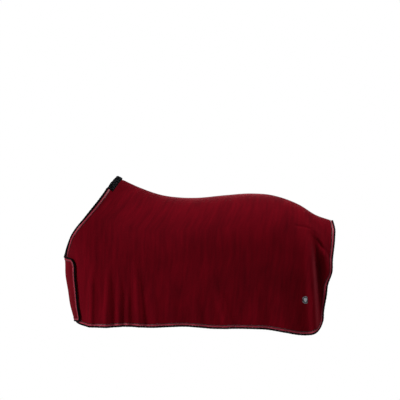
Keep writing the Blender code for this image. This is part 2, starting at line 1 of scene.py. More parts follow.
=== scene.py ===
# %% [markdown]
# # A fleece rug for a horse
# The rug hangs as it does on a horse: two side panels joined along the spine, two chest flaps
# that close with hook-and-loop tape, a satin binding and a black piping round every edge, and
# a plush pad on the withers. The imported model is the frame. Every piece here is laid over it.
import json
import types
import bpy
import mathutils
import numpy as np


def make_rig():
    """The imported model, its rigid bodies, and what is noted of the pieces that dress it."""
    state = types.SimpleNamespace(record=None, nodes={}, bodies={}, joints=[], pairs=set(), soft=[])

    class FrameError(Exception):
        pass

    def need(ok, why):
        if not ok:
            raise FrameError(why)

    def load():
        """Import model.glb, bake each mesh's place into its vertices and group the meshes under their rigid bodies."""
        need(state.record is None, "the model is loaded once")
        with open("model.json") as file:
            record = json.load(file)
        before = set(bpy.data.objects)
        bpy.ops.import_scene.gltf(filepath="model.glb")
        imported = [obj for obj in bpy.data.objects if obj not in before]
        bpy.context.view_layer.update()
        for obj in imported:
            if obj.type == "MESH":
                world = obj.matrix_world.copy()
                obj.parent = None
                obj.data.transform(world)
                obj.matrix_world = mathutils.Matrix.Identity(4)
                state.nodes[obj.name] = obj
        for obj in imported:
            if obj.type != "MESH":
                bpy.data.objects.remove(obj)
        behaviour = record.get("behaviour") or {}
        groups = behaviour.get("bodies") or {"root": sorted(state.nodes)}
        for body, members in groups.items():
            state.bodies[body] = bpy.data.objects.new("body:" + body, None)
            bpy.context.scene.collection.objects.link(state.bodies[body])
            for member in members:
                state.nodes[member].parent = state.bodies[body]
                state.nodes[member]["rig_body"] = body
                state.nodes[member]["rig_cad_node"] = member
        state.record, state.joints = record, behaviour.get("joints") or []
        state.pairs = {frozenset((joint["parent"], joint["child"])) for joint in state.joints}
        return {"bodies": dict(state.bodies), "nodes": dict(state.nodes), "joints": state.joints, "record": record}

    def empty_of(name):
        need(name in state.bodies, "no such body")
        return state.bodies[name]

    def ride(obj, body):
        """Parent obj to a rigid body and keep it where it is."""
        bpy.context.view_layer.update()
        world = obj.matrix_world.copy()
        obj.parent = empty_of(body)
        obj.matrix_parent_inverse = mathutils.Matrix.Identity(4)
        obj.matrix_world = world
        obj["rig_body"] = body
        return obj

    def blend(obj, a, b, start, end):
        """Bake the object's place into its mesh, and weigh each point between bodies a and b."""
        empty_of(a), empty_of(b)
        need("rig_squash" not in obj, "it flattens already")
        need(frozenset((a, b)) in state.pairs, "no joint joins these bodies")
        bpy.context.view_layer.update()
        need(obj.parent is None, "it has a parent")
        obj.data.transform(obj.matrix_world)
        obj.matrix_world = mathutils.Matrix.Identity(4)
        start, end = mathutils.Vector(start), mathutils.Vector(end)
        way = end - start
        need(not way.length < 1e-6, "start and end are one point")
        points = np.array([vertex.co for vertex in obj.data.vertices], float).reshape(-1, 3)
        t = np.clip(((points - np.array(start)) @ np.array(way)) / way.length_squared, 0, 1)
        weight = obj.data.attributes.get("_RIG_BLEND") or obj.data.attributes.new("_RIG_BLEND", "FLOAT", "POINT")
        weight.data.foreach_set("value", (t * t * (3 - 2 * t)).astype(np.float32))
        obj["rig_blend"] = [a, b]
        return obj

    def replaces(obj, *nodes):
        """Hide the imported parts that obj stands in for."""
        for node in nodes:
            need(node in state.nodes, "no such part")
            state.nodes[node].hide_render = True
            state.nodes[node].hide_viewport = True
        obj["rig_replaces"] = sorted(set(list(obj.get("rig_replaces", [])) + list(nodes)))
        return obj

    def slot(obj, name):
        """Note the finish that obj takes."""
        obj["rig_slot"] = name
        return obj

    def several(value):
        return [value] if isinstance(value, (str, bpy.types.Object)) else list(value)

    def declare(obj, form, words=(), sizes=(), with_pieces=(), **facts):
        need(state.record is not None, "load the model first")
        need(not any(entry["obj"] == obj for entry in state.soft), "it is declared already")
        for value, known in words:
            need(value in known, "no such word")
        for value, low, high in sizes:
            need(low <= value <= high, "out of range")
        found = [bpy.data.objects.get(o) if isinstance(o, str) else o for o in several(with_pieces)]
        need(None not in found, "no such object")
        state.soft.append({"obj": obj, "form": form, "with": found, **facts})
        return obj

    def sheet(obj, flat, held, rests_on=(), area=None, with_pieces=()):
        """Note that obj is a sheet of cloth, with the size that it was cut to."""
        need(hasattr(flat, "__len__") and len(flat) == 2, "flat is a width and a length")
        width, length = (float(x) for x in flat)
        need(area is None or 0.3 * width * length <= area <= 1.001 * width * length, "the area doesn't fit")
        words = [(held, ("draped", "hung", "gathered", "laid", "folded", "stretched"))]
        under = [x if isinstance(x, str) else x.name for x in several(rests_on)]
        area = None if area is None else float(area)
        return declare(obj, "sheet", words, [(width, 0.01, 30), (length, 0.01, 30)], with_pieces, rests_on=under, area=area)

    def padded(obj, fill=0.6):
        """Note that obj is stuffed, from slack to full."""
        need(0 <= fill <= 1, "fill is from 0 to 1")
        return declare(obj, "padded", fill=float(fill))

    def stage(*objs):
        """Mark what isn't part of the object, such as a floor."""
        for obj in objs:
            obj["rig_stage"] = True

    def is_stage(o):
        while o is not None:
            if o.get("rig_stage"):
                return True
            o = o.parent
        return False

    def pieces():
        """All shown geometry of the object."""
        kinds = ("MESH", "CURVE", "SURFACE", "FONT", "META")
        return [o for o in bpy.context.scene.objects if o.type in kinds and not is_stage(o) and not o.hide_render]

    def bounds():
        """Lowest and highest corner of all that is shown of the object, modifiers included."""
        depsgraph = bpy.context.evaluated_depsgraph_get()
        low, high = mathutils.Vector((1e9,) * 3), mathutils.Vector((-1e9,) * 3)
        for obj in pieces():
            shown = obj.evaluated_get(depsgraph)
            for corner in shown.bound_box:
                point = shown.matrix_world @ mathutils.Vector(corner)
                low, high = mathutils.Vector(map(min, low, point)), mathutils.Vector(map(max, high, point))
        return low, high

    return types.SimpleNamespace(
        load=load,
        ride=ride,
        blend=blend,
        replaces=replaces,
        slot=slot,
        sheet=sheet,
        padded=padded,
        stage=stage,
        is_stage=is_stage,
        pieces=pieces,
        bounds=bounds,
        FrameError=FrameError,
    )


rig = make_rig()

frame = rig.load()
cad_low, cad_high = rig.bounds()

import json
import math

import bpy
import numpy as np
from mathutils import Vector

print("CAD box", [round(x, 3) for x in cad_low], [round(x, 3) for x in cad_high])

# %% [markdown]
# ## Colours and nodes
# Colours are written as the hex values that a maker would give a dyer. Blender's shaders work
# in linear light, so one function turns the one into the other. A second small function adds a
# node with its settings and its links, which keeps each recipe short enough to read.

# %% Helpers for colours and nodes
NODE_PREFIX = "ShaderNode"


def colour(code):
    """Linear RGBA of an sRGB hex value."""
    srgb = np.array([int(code[i:i + 2], 16) for i in (1, 3, 5)]) / 255
    linear = np.where(srgb <= 0.04045, srgb / 12.92, ((srgb + 0.055) / 1.055) ** 2.4)
    return (*(float(v) for v in linear), 1.0)


def wire(tree, made, settings=(), links=()):
    """Gives a node its settings, which are properties or inputs' values, and what feeds it."""
    for name, value in dict(settings).items():
        if isinstance(name, int) or name in made.inputs:
            made.inputs[name].default_value = value
        else:
            setattr(made, name, value)
    for name, source in dict(links).items():
        tree.links.new(source, made.inputs[name])


def node(tree, kind, settings=(), links=(), gives=0):
    """Adds a node, wires it, and returns the output that it gives, by number or by name."""
    made = tree.nodes.new(NODE_PREFIX + kind)
    wire(tree, made, settings, links)
    return made.outputs[gives] if made.outputs else None


print("burgundy in linear light", [round(v, 4) for v in colour("#54010b")])

# %% [markdown]
# ## Studio and camera
# A rug is shown square on to its near side and from far away, so that neither end looks
# larger. A camera that sees in parallel lines would do that too, but it looks lifeless up
# close. So a very long lens is used here, a little above the back.

# %% Camera
VIEW_WIDTH = 2.56  # metres across, at the plane that the camera is set for
LENS = 400.0  # millimetres
CAMERA_PLANE = -0.25  # near the rug's near side
CAMERA_X = 0.0512
CAMERA_Z = -0.0032
CAMERA_RISE = math.radians(1.2)  # so the far neck edge shows just above the near one

lens = bpy.data.cameras.new("studio_camera")
lens.lens = LENS
lens.clip_end = 100
camera = bpy.data.objects.new("studio_camera", lens)
distance = VIEW_WIDTH * LENS / lens.sensor_width
camera.location = (CAMERA_X, CAMERA_PLANE - distance * math.cos(CAMERA_RISE),
                   CAMERA_Z + distance * math.sin(CAMERA_RISE))
camera.rotation_euler = (math.pi / 2 - CAMERA_RISE, 0, 0)
bpy.context.scene.collection.objects.link(camera)
bpy.context.scene.camera = camera
bpy.context.scene.view_settings.view_transform = "Standard"
print("camera at", [round(x, 2) for x in camera.location])

# %% [markdown]
# ## Light
# The background is white paper that is lit on its own. One world can be both: a Light Path
# node shows white to the camera and gives the cloth only a soft grey light. Five large soft
# lamps model the cloth. The one from above shows the round of the back, and the one from the
# left draws out the upright folds.

# %% World
AMBIENT = 0.16
WHITE = (1, 1, 1, 1)

world = bpy.data.worlds.new("white_paper")
bpy.context.scene.world = world
world.use_nodes = True
tree = world.node_tree
tree.nodes.clear()
seen = node(tree, "LightPath", gives="Is Camera Ray")
light = node(tree, "Background", {"Strength": AMBIENT, "Color": WHITE})
paper = node(tree, "Background", {"Strength": 1.0, "Color": WHITE})
both = node(tree, "MixShader", {}, {0: seen, 1: light, 2: paper})
node(tree, "OutputWorld", {}, {"Surface": both})
print("world light", AMBIENT)

# %% Lamps
LAMPS = {  # place, size in metres and power in watts
    "top_box": ((1.4, -0.6, 2.9), 2.0, 190),
    "left_box": ((-4.8, -2.0, 0.8), 1.2, 320),
    "front_box": ((0.6, -6.0, 1.2), 2.4, 40),
    "right_box": ((5.0, -2.0, 1.6), 1.4, 50),
    "far_box": ((0.4, 3.8, 1.8), 2.4, 70),
}
LAMPS_AIM = Vector((0, 0, -0.35))  # the middle of the rug
for name, (place, size, power) in LAMPS.items():
    lamp = bpy.data.lights.new(name, "AREA")
    lamp.size = size
    lamp.energy = power
    box = bpy.data.objects.new(name, lamp)
    box.location = place
    box.rotation_euler = (LAMPS_AIM - Vector(place)).to_track_quat("-Z", "Y").to_euler()
    bpy.context.scene.collection.objects.link(box)
print("lamps", sorted(LAMPS))

# %% [markdown]
# ## Floor
# The rug hangs above a pale floor at the height of the hooves. A plain square would show its
# edge in a view from above, so the floor is a disc whose matt white paint turns into white
# light toward its rim, where it meets the paper.

# %% Floor
FLOOR_Z = -1.6
FLOOR_RADIUS = 2.7
FLOOR_FADE_START = 1.2
FLOOR_RINGS, FLOOR_SPOKES = 24, 72


def disc(radius, rings, spokes, height):
    """Points at radius r and angle a: (r cos a, r sin a, height), with one point in the middle."""
    r = radius * np.linspace(0, 1, rings + 1)[1:, None]
    a = np.linspace(0, 2 * np.pi, spokes, endpoint=False)[None]
    ring = np.stack([r * np.cos(a), r * np.sin(a), np.full((rings, spokes), height)], axis=-1)
    points = np.concatenate([[[0, 0, height]], ring.reshape(-1, 3)])
    index = 1 + np.arange(rings * spokes).reshape(rings, spokes)
    turned = np.roll(index, -1, axis=1)
    quads = np.stack([index[:-1], index[1:], turned[1:], turned[:-1]], -1).reshape(-1, 4)
    middle = np.stack([np.zeros(spokes, int), index[0], turned[0]], -1)
    return points, middle.tolist() + quads.tolist()


floor_points, floor_faces = disc(FLOOR_RADIUS, FLOOR_RINGS, FLOOR_SPOKES, FLOOR_Z)
floor_mesh = bpy.data.meshes.new("floor")
floor_mesh.from_pydata(floor_points.tolist(), [], floor_faces)
floor = bpy.data.objects.new("floor", floor_mesh)
bpy.context.scene.collection.objects.link(floor)
print("floor", len(floor_faces), "faces")

# %% Floor paint
paint = bpy.data.materials.new("matt_white_floor_paint")  # even and dull, so it only takes shadows
paint.use_nodes = True
tree = paint.node_tree
tree.nodes.clear()
place = node(tree, "TexCoord", gives="Object")
level = node(tree, "Mapping", {"Location": (0, 0, -FLOOR_Z)}, {"Vector": place})
away = node(tree, "VectorMath", {"operation": "LENGTH"}, {0: level}, "Value")
fade = node(tree, "MapRange", {"From Min": FLOOR_FADE_START, "From Max": FLOOR_RADIUS,
                               "interpolation_type": "SMOOTHSTEP"}, {"Value": away})
dull = node(tree, "BsdfDiffuse", {"Color": colour("#f0efed")})
white = node(tree, "Emission", {"Strength": 1.0, "Color": WHITE})
mixed = node(tree, "MixShader", {}, {0: fade, 1: dull, 2: white})
node(tree, "OutputMaterial", {}, {"Surface": mixed})
floor_mesh.materials.append(paint)
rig.stage(floor)
print("floor paint fades from", FLOOR_FADE_START, "to", FLOOR_RADIUS, "m")

# %% [markdown]
# ## The rug's sizes
# These repeat the sizes that the CAD pieces were made from, in metres, because everything
# sewn here has to lie where those pieces lie. The outlines are points of the side view, given
# as shares of the back's length and of the drop, so that a rug of another size keeps its cut.

# %% Sizes of the sewn parts
BACK_LENGTH = 1.45
DROP = 0.80
HALF_WIDTH = 0.295
CLOTH = 0.003
TAPE = 0.0008
GAP = 0.00075
EDGE_GAP = 0.001
BINDING_WIDTH = 0.012
PIPING_RADIUS = 0.0060
NECK_PIPING_RADIUS = 0.0075
SPINE_TAPE_WIDTH = 0.024
PAD_REACH = 0.20625 * DROP
PAD_WIDTH = 0.032
PAD_THICKNESS = 0.005
PAD_GAP = 0.001
PATCH_THICKNESS = 0.0012
PATCH_HEIGHT = 0.075
PATCH_GAP = 0.0016
PATCH_SPAN = (-0.46, -0.12)
UPPER_PATCH_Z = -0.625
LOWER_PATCH_Z = -0.825
NEAR_FLAP_END = 0.22
OFF_FLAP_END = -0.58
OFF_FLAP_CORNER = (0.15, 0.056)
OFF_FLAP_TOP_DROP = 0.008
NEAR_FLAP_CORNER = (0.06, 0.024)
LOW_CORNER = (0.05, 0.022)  # rounding of each flap's bottom corner: share of the way, height
CHEST_HEM = (-0.975, -0.965)
CHEST_DEPTH = 0.138
NECK_CREST_SLOPE = 1.05
BADGE_RADIUS = 0.024
BADGE_X, BADGE_Z = 0.502, -0.804
print("back", BACK_LENGTH, "m, drop", DROP, "m, cloth", CLOTH * 1000, "mm")

# %% Outlines
SPINE = [(-0.332, 0.1650), (-0.230, 0.080), (-0.141, 0.025), (-0.053, 0.0025), (0.018, 0.0),
         (0.141, 0.020), (0.265, 0.035), (0.345, 0.025), (0.414, -0.008), (0.4765, -0.056),
         (0.5475, -0.136), (0.619, -0.1825)]
THROAT = [(-0.970, -0.512), (-0.850, -0.530), (-0.735, -0.5395), (-0.620, -0.550),
          (-0.474, -0.5545), (-0.335, -0.579), (-0.200, -0.609), (0.0, -0.690)]
NECKLINE = [(0.165, -0.332), (0.131, -0.350), (0.0375, -0.384), (-0.059, -0.424),
            (-0.154, -0.468), (-0.250, -0.511), (-0.300, -0.528), (-0.3625, -0.540),
            (-0.474, -0.5545)]
REAR_EDGE = [(-0.1825, 0.619), (-0.244, 0.6265), (-0.3125, 0.625), (-0.500, 0.614),
             (-0.580, 0.6125), (-0.684, 0.593), (-0.771, 0.5885), (-0.916, 0.577),
             (-0.994, 0.569), (-1.022, 0.562), (-1.046, 0.551)]
HEM = [(-0.460, -1.0105), (-0.371, -1.0105), (-0.300, -1.002), (-0.195, -1.009),
       (-0.018, -1.0005), (0.088, -1.0155), (0.230, -1.017), (0.335, -1.0255),
       (0.406, -1.047), (0.476, -1.0705), (0.512, -1.072), (0.534, -1.065), (0.551, -1.046)]
WIDTH = [(-0.700, 0.76), (-0.552, 0.79), (-0.414, 0.84), (-0.207, 0.94), (0.0, 1.0),
         (0.207, 1.0), (0.345, 0.965), (0.483, 0.845), (0.552, 0.73), (0.640, 0.58)]
ROUNDING_DEPTH = [(-0.700, 0.625), (-0.331, 0.600), (0.0, 0.450), (0.276, 0.400), (0.630, 0.375)]
ROUNDING_POWER = [(-0.700, 1.60), (-0.331, 1.60), (-0.100, 2.0), (0.250, 2.2), (0.630, 2.0)]
print("points on the spine", len(SPINE), "and on the hem", len(HEM))

# %% Layers, from the horse outward
HINGE_X = -0.455 * BACK_LENGTH
CLOTH_INSIDE = TAPE + GAP
CLOTH_OUTSIDE = CLOTH_INSIDE + CLOTH
CLOTH_MIDDLE = (CLOTH_INSIDE + CLOTH_OUTSIDE) / 2
FLAP_LIFT = max(CLOTH + 2 * PATCH_THICKNESS + 3 * PATCH_GAP, 2 * PIPING_RADIUS + 2 * PATCH_GAP)
LIFT_START, LIFT_END = 0.95, NEAR_FLAP_END + 0.14  # where the off flap starts to rise, and is up
HOOK_INSIDE = CLOTH_OUTSIDE + PATCH_GAP / 2
LOOP_INSIDE = FLAP_LIFT + CLOTH_INSIDE - PATCH_GAP / 2 - PATCH_THICKNESS
SEAM_GAP = 0.0002  # between the two halves at the spine
print("hinge lines at x =", round(HINGE_X, 3))

# %% [markdown]
# ## The surface that the rug lies on
# Cloth takes the horse's shape, so the horse is one smooth function: how far its skin lies
# from the middle plane at each place of the side view. A few points with a smooth curve
# through them give its outlines. On the flanks a place is (x, r), where r is the square
# root of the depth below the spine, because the back is round and its width grows like that
# root. Round the chest a place is (u, z), where u goes from one hinge line to the other.


# %% Curves
FINE = 300  # points on a finely drawn curve


def unit(v):
    """Vectors divided by their own lengths."""
    return v / np.linalg.norm(v, axis=-1, keepdims=True)


def smooth(points, first_size, second_size):
    """A cubic Hermite curve through points given as shares of two sizes."""
    at, value = np.array(sorted(points), float).T
    at, value = at * first_size, value * second_size
    slope = np.gradient(value, at)

    def curve(q):
        q = np.asarray(q, float)
        i = np.clip(np.searchsorted(at, q) - 1, 0, len(at) - 2)
        h = at[i + 1] - at[i]
        t = np.clip((q - at[i]) / h, 0, 1)
        return ((2 * t**3 - 3 * t**2 + 1) * value[i] + (t**3 - 2 * t**2 + t) * h * slope[i]
                + (3 * t**2 - 2 * t**3) * value[i + 1] + (t**3 - t**2) * h * slope[i + 1])

    return curve


def ease(t):
    """0 before 0, 1 after 1, and 3t^2 - 2t^3 between."""
    t = np.clip(t, 0, 1)
    return t * t * (3 - 2 * t)


def length_along(line):
    """The distance from a line's start to each of its points."""
    steps = np.linalg.norm(np.diff(line, axis=0), axis=1)
    return np.concatenate([[0], np.cumsum(steps)])


def respaced(line, along, wanted):
    """The line's values where the length along it has the wanted values."""
    return np.stack([np.interp(wanted, along, column) for column in line.T], axis=1)


print("curves are drawn with", FINE, "points")

# %% The outlines as curves
spine_z = smooth(SPINE, BACK_LENGTH, DROP)
throat_x = smooth(THROAT, DROP, BACK_LENGTH)
neckline_x = smooth(NECKLINE, DROP, BACK_LENGTH)
rear_x = smooth(REAR_EDGE, DROP, BACK_LENGTH)
hem_z = smooth(HEM, BACK_LENGTH, DROP)
width_share = smooth(WIDTH, BACK_LENGTH, 1)
rounding_depth = smooth(ROUNDING_DEPTH, BACK_LENGTH, DROP)
rounding_power = smooth(ROUNDING_POWER, BACK_LENGTH, 1)
WITHERS_X, WITHERS_Z = SPINE[0][0] * BACK_LENGTH, SPINE[0][1] * DROP
TAIL_X, TAIL_Z = SPINE[-1][0] * BACK_LENGTH, SPINE[-1][1] * DROP
CHEST_Z = NECKLINE[-1][0] * DROP
CORNER_X, CORNER_Z = HEM[-1][0] * BACK_LENGTH, HEM[-1][1] * DROP
print("back", round(TAIL_X - WITHERS_X, 3), "m long at the spine")

# %% [markdown]
# ## Folds
# Fleece is limp and heavy, so what isn't held against the horse falls in soft upright folds.
# A cloth simulation makes folds too, but never the ones that are wanted. So each fold is a line
# drawn on the cloth that carries a height in metres. Across the line the cloth rises as a bell
# curve does. A negative height is a valley. A fold starts from nothing, where the body still
# holds the cloth out, and is fullest at the hem.

# %% Folds of the near side: points (x, z, height) and the bell's width
NEAR_FOLDS = [
    ([(-0.636, -0.40, 0.000), (-0.644, -0.54, 0.014), (-0.650, -0.82, 0.018)], 0.011),
    ([(-0.596, -0.46, 0.000), (-0.602, -0.66, -0.006), (-0.608, -0.82, -0.008)], 0.012),
    ([(-0.530, -0.40, 0.000), (-0.540, -0.56, 0.015), (-0.552, -0.82, 0.021)], 0.011),
    ([(-0.500, -0.46, 0.000), (-0.505, -0.82, -0.006)], 0.012),
    ([(-0.462, -0.46, 0.000), (-0.464, -0.60, 0.013), (-0.468, -0.82, 0.015)], 0.010),
    ([(-0.408, -0.50, 0.000), (-0.410, -0.66, 0.010), (-0.412, -0.82, 0.013)], 0.010),
    ([(-0.376, -0.36, 0.000), (-0.352, -0.54, 0.016), (-0.336, -0.82, 0.022)], 0.012),
    ([(-0.320, -0.48, 0.000), (-0.302, -0.82, -0.007)], 0.014),
    ([(-0.250, -0.50, 0.000), (-0.236, -0.82, 0.012)], 0.015),
    ([(-0.130, -0.52, 0.000), (-0.118, -0.82, 0.011)], 0.018),
    ([(0.010, -0.54, 0.000), (0.030, -0.82, 0.010)], 0.018),
    ([(0.110, -0.46, 0.000), (0.170, -0.62, 0.014), (0.235, -0.84, 0.018)], 0.016),
    ([(0.060, -0.56, 0.000), (0.100, -0.83, -0.010)], 0.018),
    ([(0.400, -0.44, 0.000), (0.420, -0.85, 0.014)], 0.020),
    ([(0.480, -0.50, 0.000), (0.500, -0.85, -0.009)], 0.020),
    ([(0.560, -0.50, 0.000), (0.600, -0.88, 0.015)], 0.018),
    ([(0.660, -0.48, 0.000), (0.690, -0.88, -0.010)], 0.018),
    ([(0.735, -0.22, 0.000), (0.752, -0.36, 0.022), (0.768, -0.54, 0.038), (0.778, -0.70, 0.038),
      (0.786, -0.86, 0.034)], 0.014),
    ([(0.738, -0.36, 0.000), (0.748, -0.48, 0.010), (0.768, -0.72, 0.022),
      (0.774, -0.86, 0.022)], 0.020),
    ([(0.768, -0.20, 0.000), (0.790, -0.33, -0.030), (0.802, -0.42, -0.050),
      (0.816, -0.56, -0.050), (0.828, -0.72, -0.036), (0.836, -0.84, -0.024)], 0.016),
    ([(0.836, -0.25, 0.000), (0.852, -0.36, 0.026), (0.862, -0.45, 0.020), (0.866, -0.54, 0.0)],
     0.011),
    ([(0.775, -0.21, 0.000), (0.825, -0.29, -0.012), (0.885, -0.38, -0.004)], 0.008),
    ([(0.700, -0.13, 0.000), (0.790, -0.20, 0.010), (0.890, -0.31, 0.000)], 0.011),
    ([(0.745, -0.19, 0.000), (0.805, -0.25, 0.010), (0.880, -0.345, 0.000)], 0.009),
    ([(0.646, -0.166, 0.000), (0.672, -0.171, -0.005), (0.740, -0.185, -0.004),
      (0.770, -0.194, 0.000)], 0.0055),
]
print("near folds", len(NEAR_FOLDS))

# %% Folds of the off side, the wave of the hem and the swells of the body
OFF_FOLDS = [
    ([(-0.590, -0.42, 0.000), (-0.600, -0.82, 0.009)], 0.020),
    ([(-0.470, -0.46, 0.000), (-0.480, -0.82, 0.010)], 0.020),
    ([(-0.330, -0.42, 0.000), (-0.300, -0.82, 0.012)], 0.022),
    ([(-0.130, -0.52, 0.000), (-0.110, -0.82, 0.006)], 0.028),
    ([(0.180, -0.50, 0.000), (0.240, -0.84, 0.009)], 0.026),
    ([(0.450, -0.52, 0.000), (0.480, -0.86, 0.008)], 0.034),
    ([(0.765, -0.23, 0.000), (0.780, -0.42, 0.010), (0.790, -0.86, 0.012)], 0.020),
    ([(0.800, -0.27, 0.000), (0.830, -0.46, -0.014), (0.840, -0.82, -0.011)], 0.014),
]
HEM_WAVE = 0.0035  # metres in and out
HEM_WAVE_LENGTHS = (0.37, 0.23)
HEM_WAVE_SHORT = 0.6  # the short wave's height as a share of the long one's
HEM_WAVE_SHIFT = 0.07  # so the two sides don't wave alike
HEM_WAVE_TOP = -0.42
HEM_WAVE_FADE = 0.42
HINGE_HOLD = (-0.075, 0.06)  # the cloth is held to the horse up to the first, from the hinge line,
SPINE_HOLD = (0.02, 0.08)  # or below the spine, and is free after the second further on
BODY_SWELLS = [  # shoulder, ribs, hip and thigh: place (x, z), height and width
    (-0.44, -0.30, 0.010, 0.110), (-0.05, -0.36, 0.006, 0.200),
    (0.52, -0.16, 0.007, 0.090), (0.62, -0.44, 0.008, 0.120),
]
print("off folds", len(OFF_FOLDS), "and swells", len(BODY_SWELLS))


# %% How the cloth stands off the horse
def fold(x, z, line, width):
    """Height carried along a line times a bell curve of the distance to it."""
    nearest = np.full(np.shape(x), np.inf)
    height = np.zeros(np.shape(x))
    for (x0, z0, h0), (x1, z1, h1) in zip(line[:-1], line[1:]):
        dx, dz = x1 - x0, z1 - z0
        t = np.clip(((x - x0) * dx + (z - z0) * dz) / (dx * dx + dz * dz), 0, 1)
        distance = np.hypot(x - x0 - t * dx, z - z0 - t * dz)
        height = np.where(distance < nearest, h0 + (h1 - h0) * t, height)
        nearest = np.minimum(nearest, distance)
    return height * np.exp(-0.5 * (nearest / width) ** 2)


def hang(x, z, side):
    """How far the cloth stands off the horse: its folds, a slow wave at the hem, and swells."""
    off = sum(fold(x, z, line, width) for line, width in (NEAR_FOLDS if side < 0 else OFF_FOLDS))
    low = ease((HEM_WAVE_TOP - z) / HEM_WAVE_FADE)
    long_wave, short_wave = (np.sin(2 * np.pi * (x + HEM_WAVE_SHIFT * side) / length)
                             for length in HEM_WAVE_LENGTHS)
    off = off + HEM_WAVE * low * (long_wave + HEM_WAVE_SHORT * short_wave)
    for sx, sz, height, width in BODY_SWELLS:
        off = off + height * np.exp(-0.5 * (((x - sx) ** 2 + (z - sz) ** 2) / width**2))
    free_of_hinge = ease((x - HINGE_X - HINGE_HOLD[0]) / HINGE_HOLD[1])
    free_of_spine = ease((spine_z(x) - z - SPINE_HOLD[0]) / SPINE_HOLD[1])
    return off * (free_of_hinge * free_of_spine)


near_middle = hang(np.array(0.0), np.array(-0.7), -1)
print("low on the near side the cloth stands off", round(float(near_middle) * 1000, 1), "mm")

# %% [markdown]
# ## The whole surface
# Two functions give a point of the rug: one for a flank and one for the chest, which meet at
# the hinge line. A flank could be a grid modelled by hand, but a function can be asked for any
# point, for its slopes and for the direction out of the cloth, and every layer needs those.


# %% The horse's width
def rounded(q, power):
    """Rises from 0 to 1 as q does, steeply at first, like the side of a superellipse."""
    return (1 - (1 - np.clip(q, 0, 1)) ** power) ** (1 / power)


def crest_z(x):
    """The spine, and ahead of the withers the crest of the neck, a straight slope."""
    return np.where(x < WITHERS_X, WITHERS_Z + (WITHERS_X - x) * NECK_CREST_SLOPE, spine_z(x))


def half_width(x, z):
    """Width at this length times a round-off under the spine times one behind the chest."""
    top = rounded((crest_z(x) - z) / rounding_depth(x), rounding_power(x))
    front = rounded((x - throat_x(z)) / (CHEST_DEPTH * BACK_LENGTH), 2.0)
    return HALF_WIDTH * width_share(x) * top * front


print("half width at the girth", round(float(half_width(np.array(-0.2), np.array(-0.5))), 3))


# %% A flank and the chest
def root_depth(flat):
    """A side view place (x, z) as (x, r): z is the crest's height less DROP times r squared."""
    x, z = flat[..., 0], flat[..., 1]
    return np.stack([x, np.sqrt(np.clip(crest_z(x) - z, 0, None) / DROP)], axis=-1)


def side_surface(side):
    """(x, r) to a point: y is the half width there plus the folds, and its sign is the side's."""
    def surface(q):
        x, r = q[..., 0], q[..., 1]
        z = crest_z(x) - DROP * r * r
        y = np.sign(r) * (half_width(x, z) + hang(x, z, side)) + SEAM_GAP / 2
        return np.stack([x, side * y, z], axis=-1)
    return surface


def chest_surface(side, lift):
    """(u, z) to a point: x runs back from the throat as 1 - cos(u pi / 2) does."""
    def body(q):
        u, z = q[..., 0], q[..., 1]
        forward = throat_x(z)
        x = forward + (HINGE_X - forward) * (1 - np.cos(u * np.pi / 2))
        loose = np.where(u < 0, hang(x, z, -1), hang(x, z, 1))
        return np.stack([x, np.sign(u) * (half_width(x, z) + loose), z], axis=-1)

    def surface(q):
        return body(q) + out_of(body, q, -1) * lift(q[..., 0])[..., None]

    return surface


def no_lift(u):
    """The near flap lies on the horse."""
    return np.zeros_like(u)


def flap_lift(u):
    """The off flap rises from the horse near its hinge to lie over the near flap."""
    return FLAP_LIFT * ease((LIFT_START - u) / (LIFT_START - LIFT_END))


print("off flap rises", round(FLAP_LIFT * 1000, 1), "mm to lie over the near flap")

# %% Slopes and normals
SLOPE_STEP = 1e-4


def slopes(surface, q):
    """The surface's change along each of its two parameters, from places just either side."""
    first, second = np.array([SLOPE_STEP, 0]), np.array([0, SLOPE_STEP])
    return ((surface(q + first) - surface(q - first)) / (2 * SLOPE_STEP),
            (surface(q + second) - surface(q - second)) / (2 * SLOPE_STEP))


def out_of(surface, q, turn):
    """Unit normals: the cross product of the two slopes, times 1 or -1 so that it points out."""
    first, second = slopes(surface, q)
    return unit(np.cross(first, second)) * turn


def walked(surface, q, heading, distance):
    """Where a short step over the surface ends: the slopes give the change of parameters."""
    first, second = slopes(surface, q)
    a, b, c = ((first * first).sum(-1), (first * second).sum(-1), (second * second).sum(-1))
    p, s = (first * heading).sum(-1), (second * heading).sum(-1)
    change = np.stack([c * p - b * s, a * s - b * p], axis=-1) / (a * c - b * b)[..., None]
    return q + change * distance


SIDE = {-1: side_surface(-1), 1: side_surface(1)}
CHEST = {-1: chest_surface(-1, no_lift), 1: chest_surface(1, flap_lift)}
girth_out = out_of(SIDE[1], root_depth(np.array([0.0, -0.5])), 1)
print("out of the off flank at the girth", [round(float(v), 2) for v in girth_out])

# %% [markdown]
# ## The cut of the cloth
# Each panel is a grid of threads between its four cut edges. A column takes its line from the
# two edges beside it and is then spaced evenly over the surface, so the cells stay nearly
# square even where the back is round. The side panel and the chest flap of one side are a
# single grid here, because the fleece is one supple piece across the hinge line.

# %% A grid between four edges
def filled(surface, top, bottom, front, rear, column_shares, row_shares):
    """A grid of places between four curves: a Coons patch, its rows spaced over the surface."""
    def spread(curve):
        along = length_along(surface(curve))
        return respaced(curve, along, column_shares * along[-1])
    top, bottom = spread(top), spread(bottom)
    down = ((front[:, 1] - front[0, 1]) / (front[-1, 1] - front[0, 1]))[:, None]
    front_bulge = front - (front[0] + (front[-1] - front[0]) * down)
    rear_bulge = rear - (rear[0] + (rear[-1] - rear[0]) * down)
    columns = []
    for start, end, share in zip(top, bottom, column_shares):
        flat = start + (end - start) * down + front_bulge * (1 - share) + rear_bulge * share
        along = length_along(surface(flat))
        columns.append(respaced(flat, along, row_shares * along[-1]))
    return np.stack(columns)


def plain_side(flat):
    """A place (x, z) on the horse itself, without folds, which would crowd the grid."""
    x, z = flat[..., 0], flat[..., 1]
    return np.stack([x, half_width(x, z), z], axis=-1)


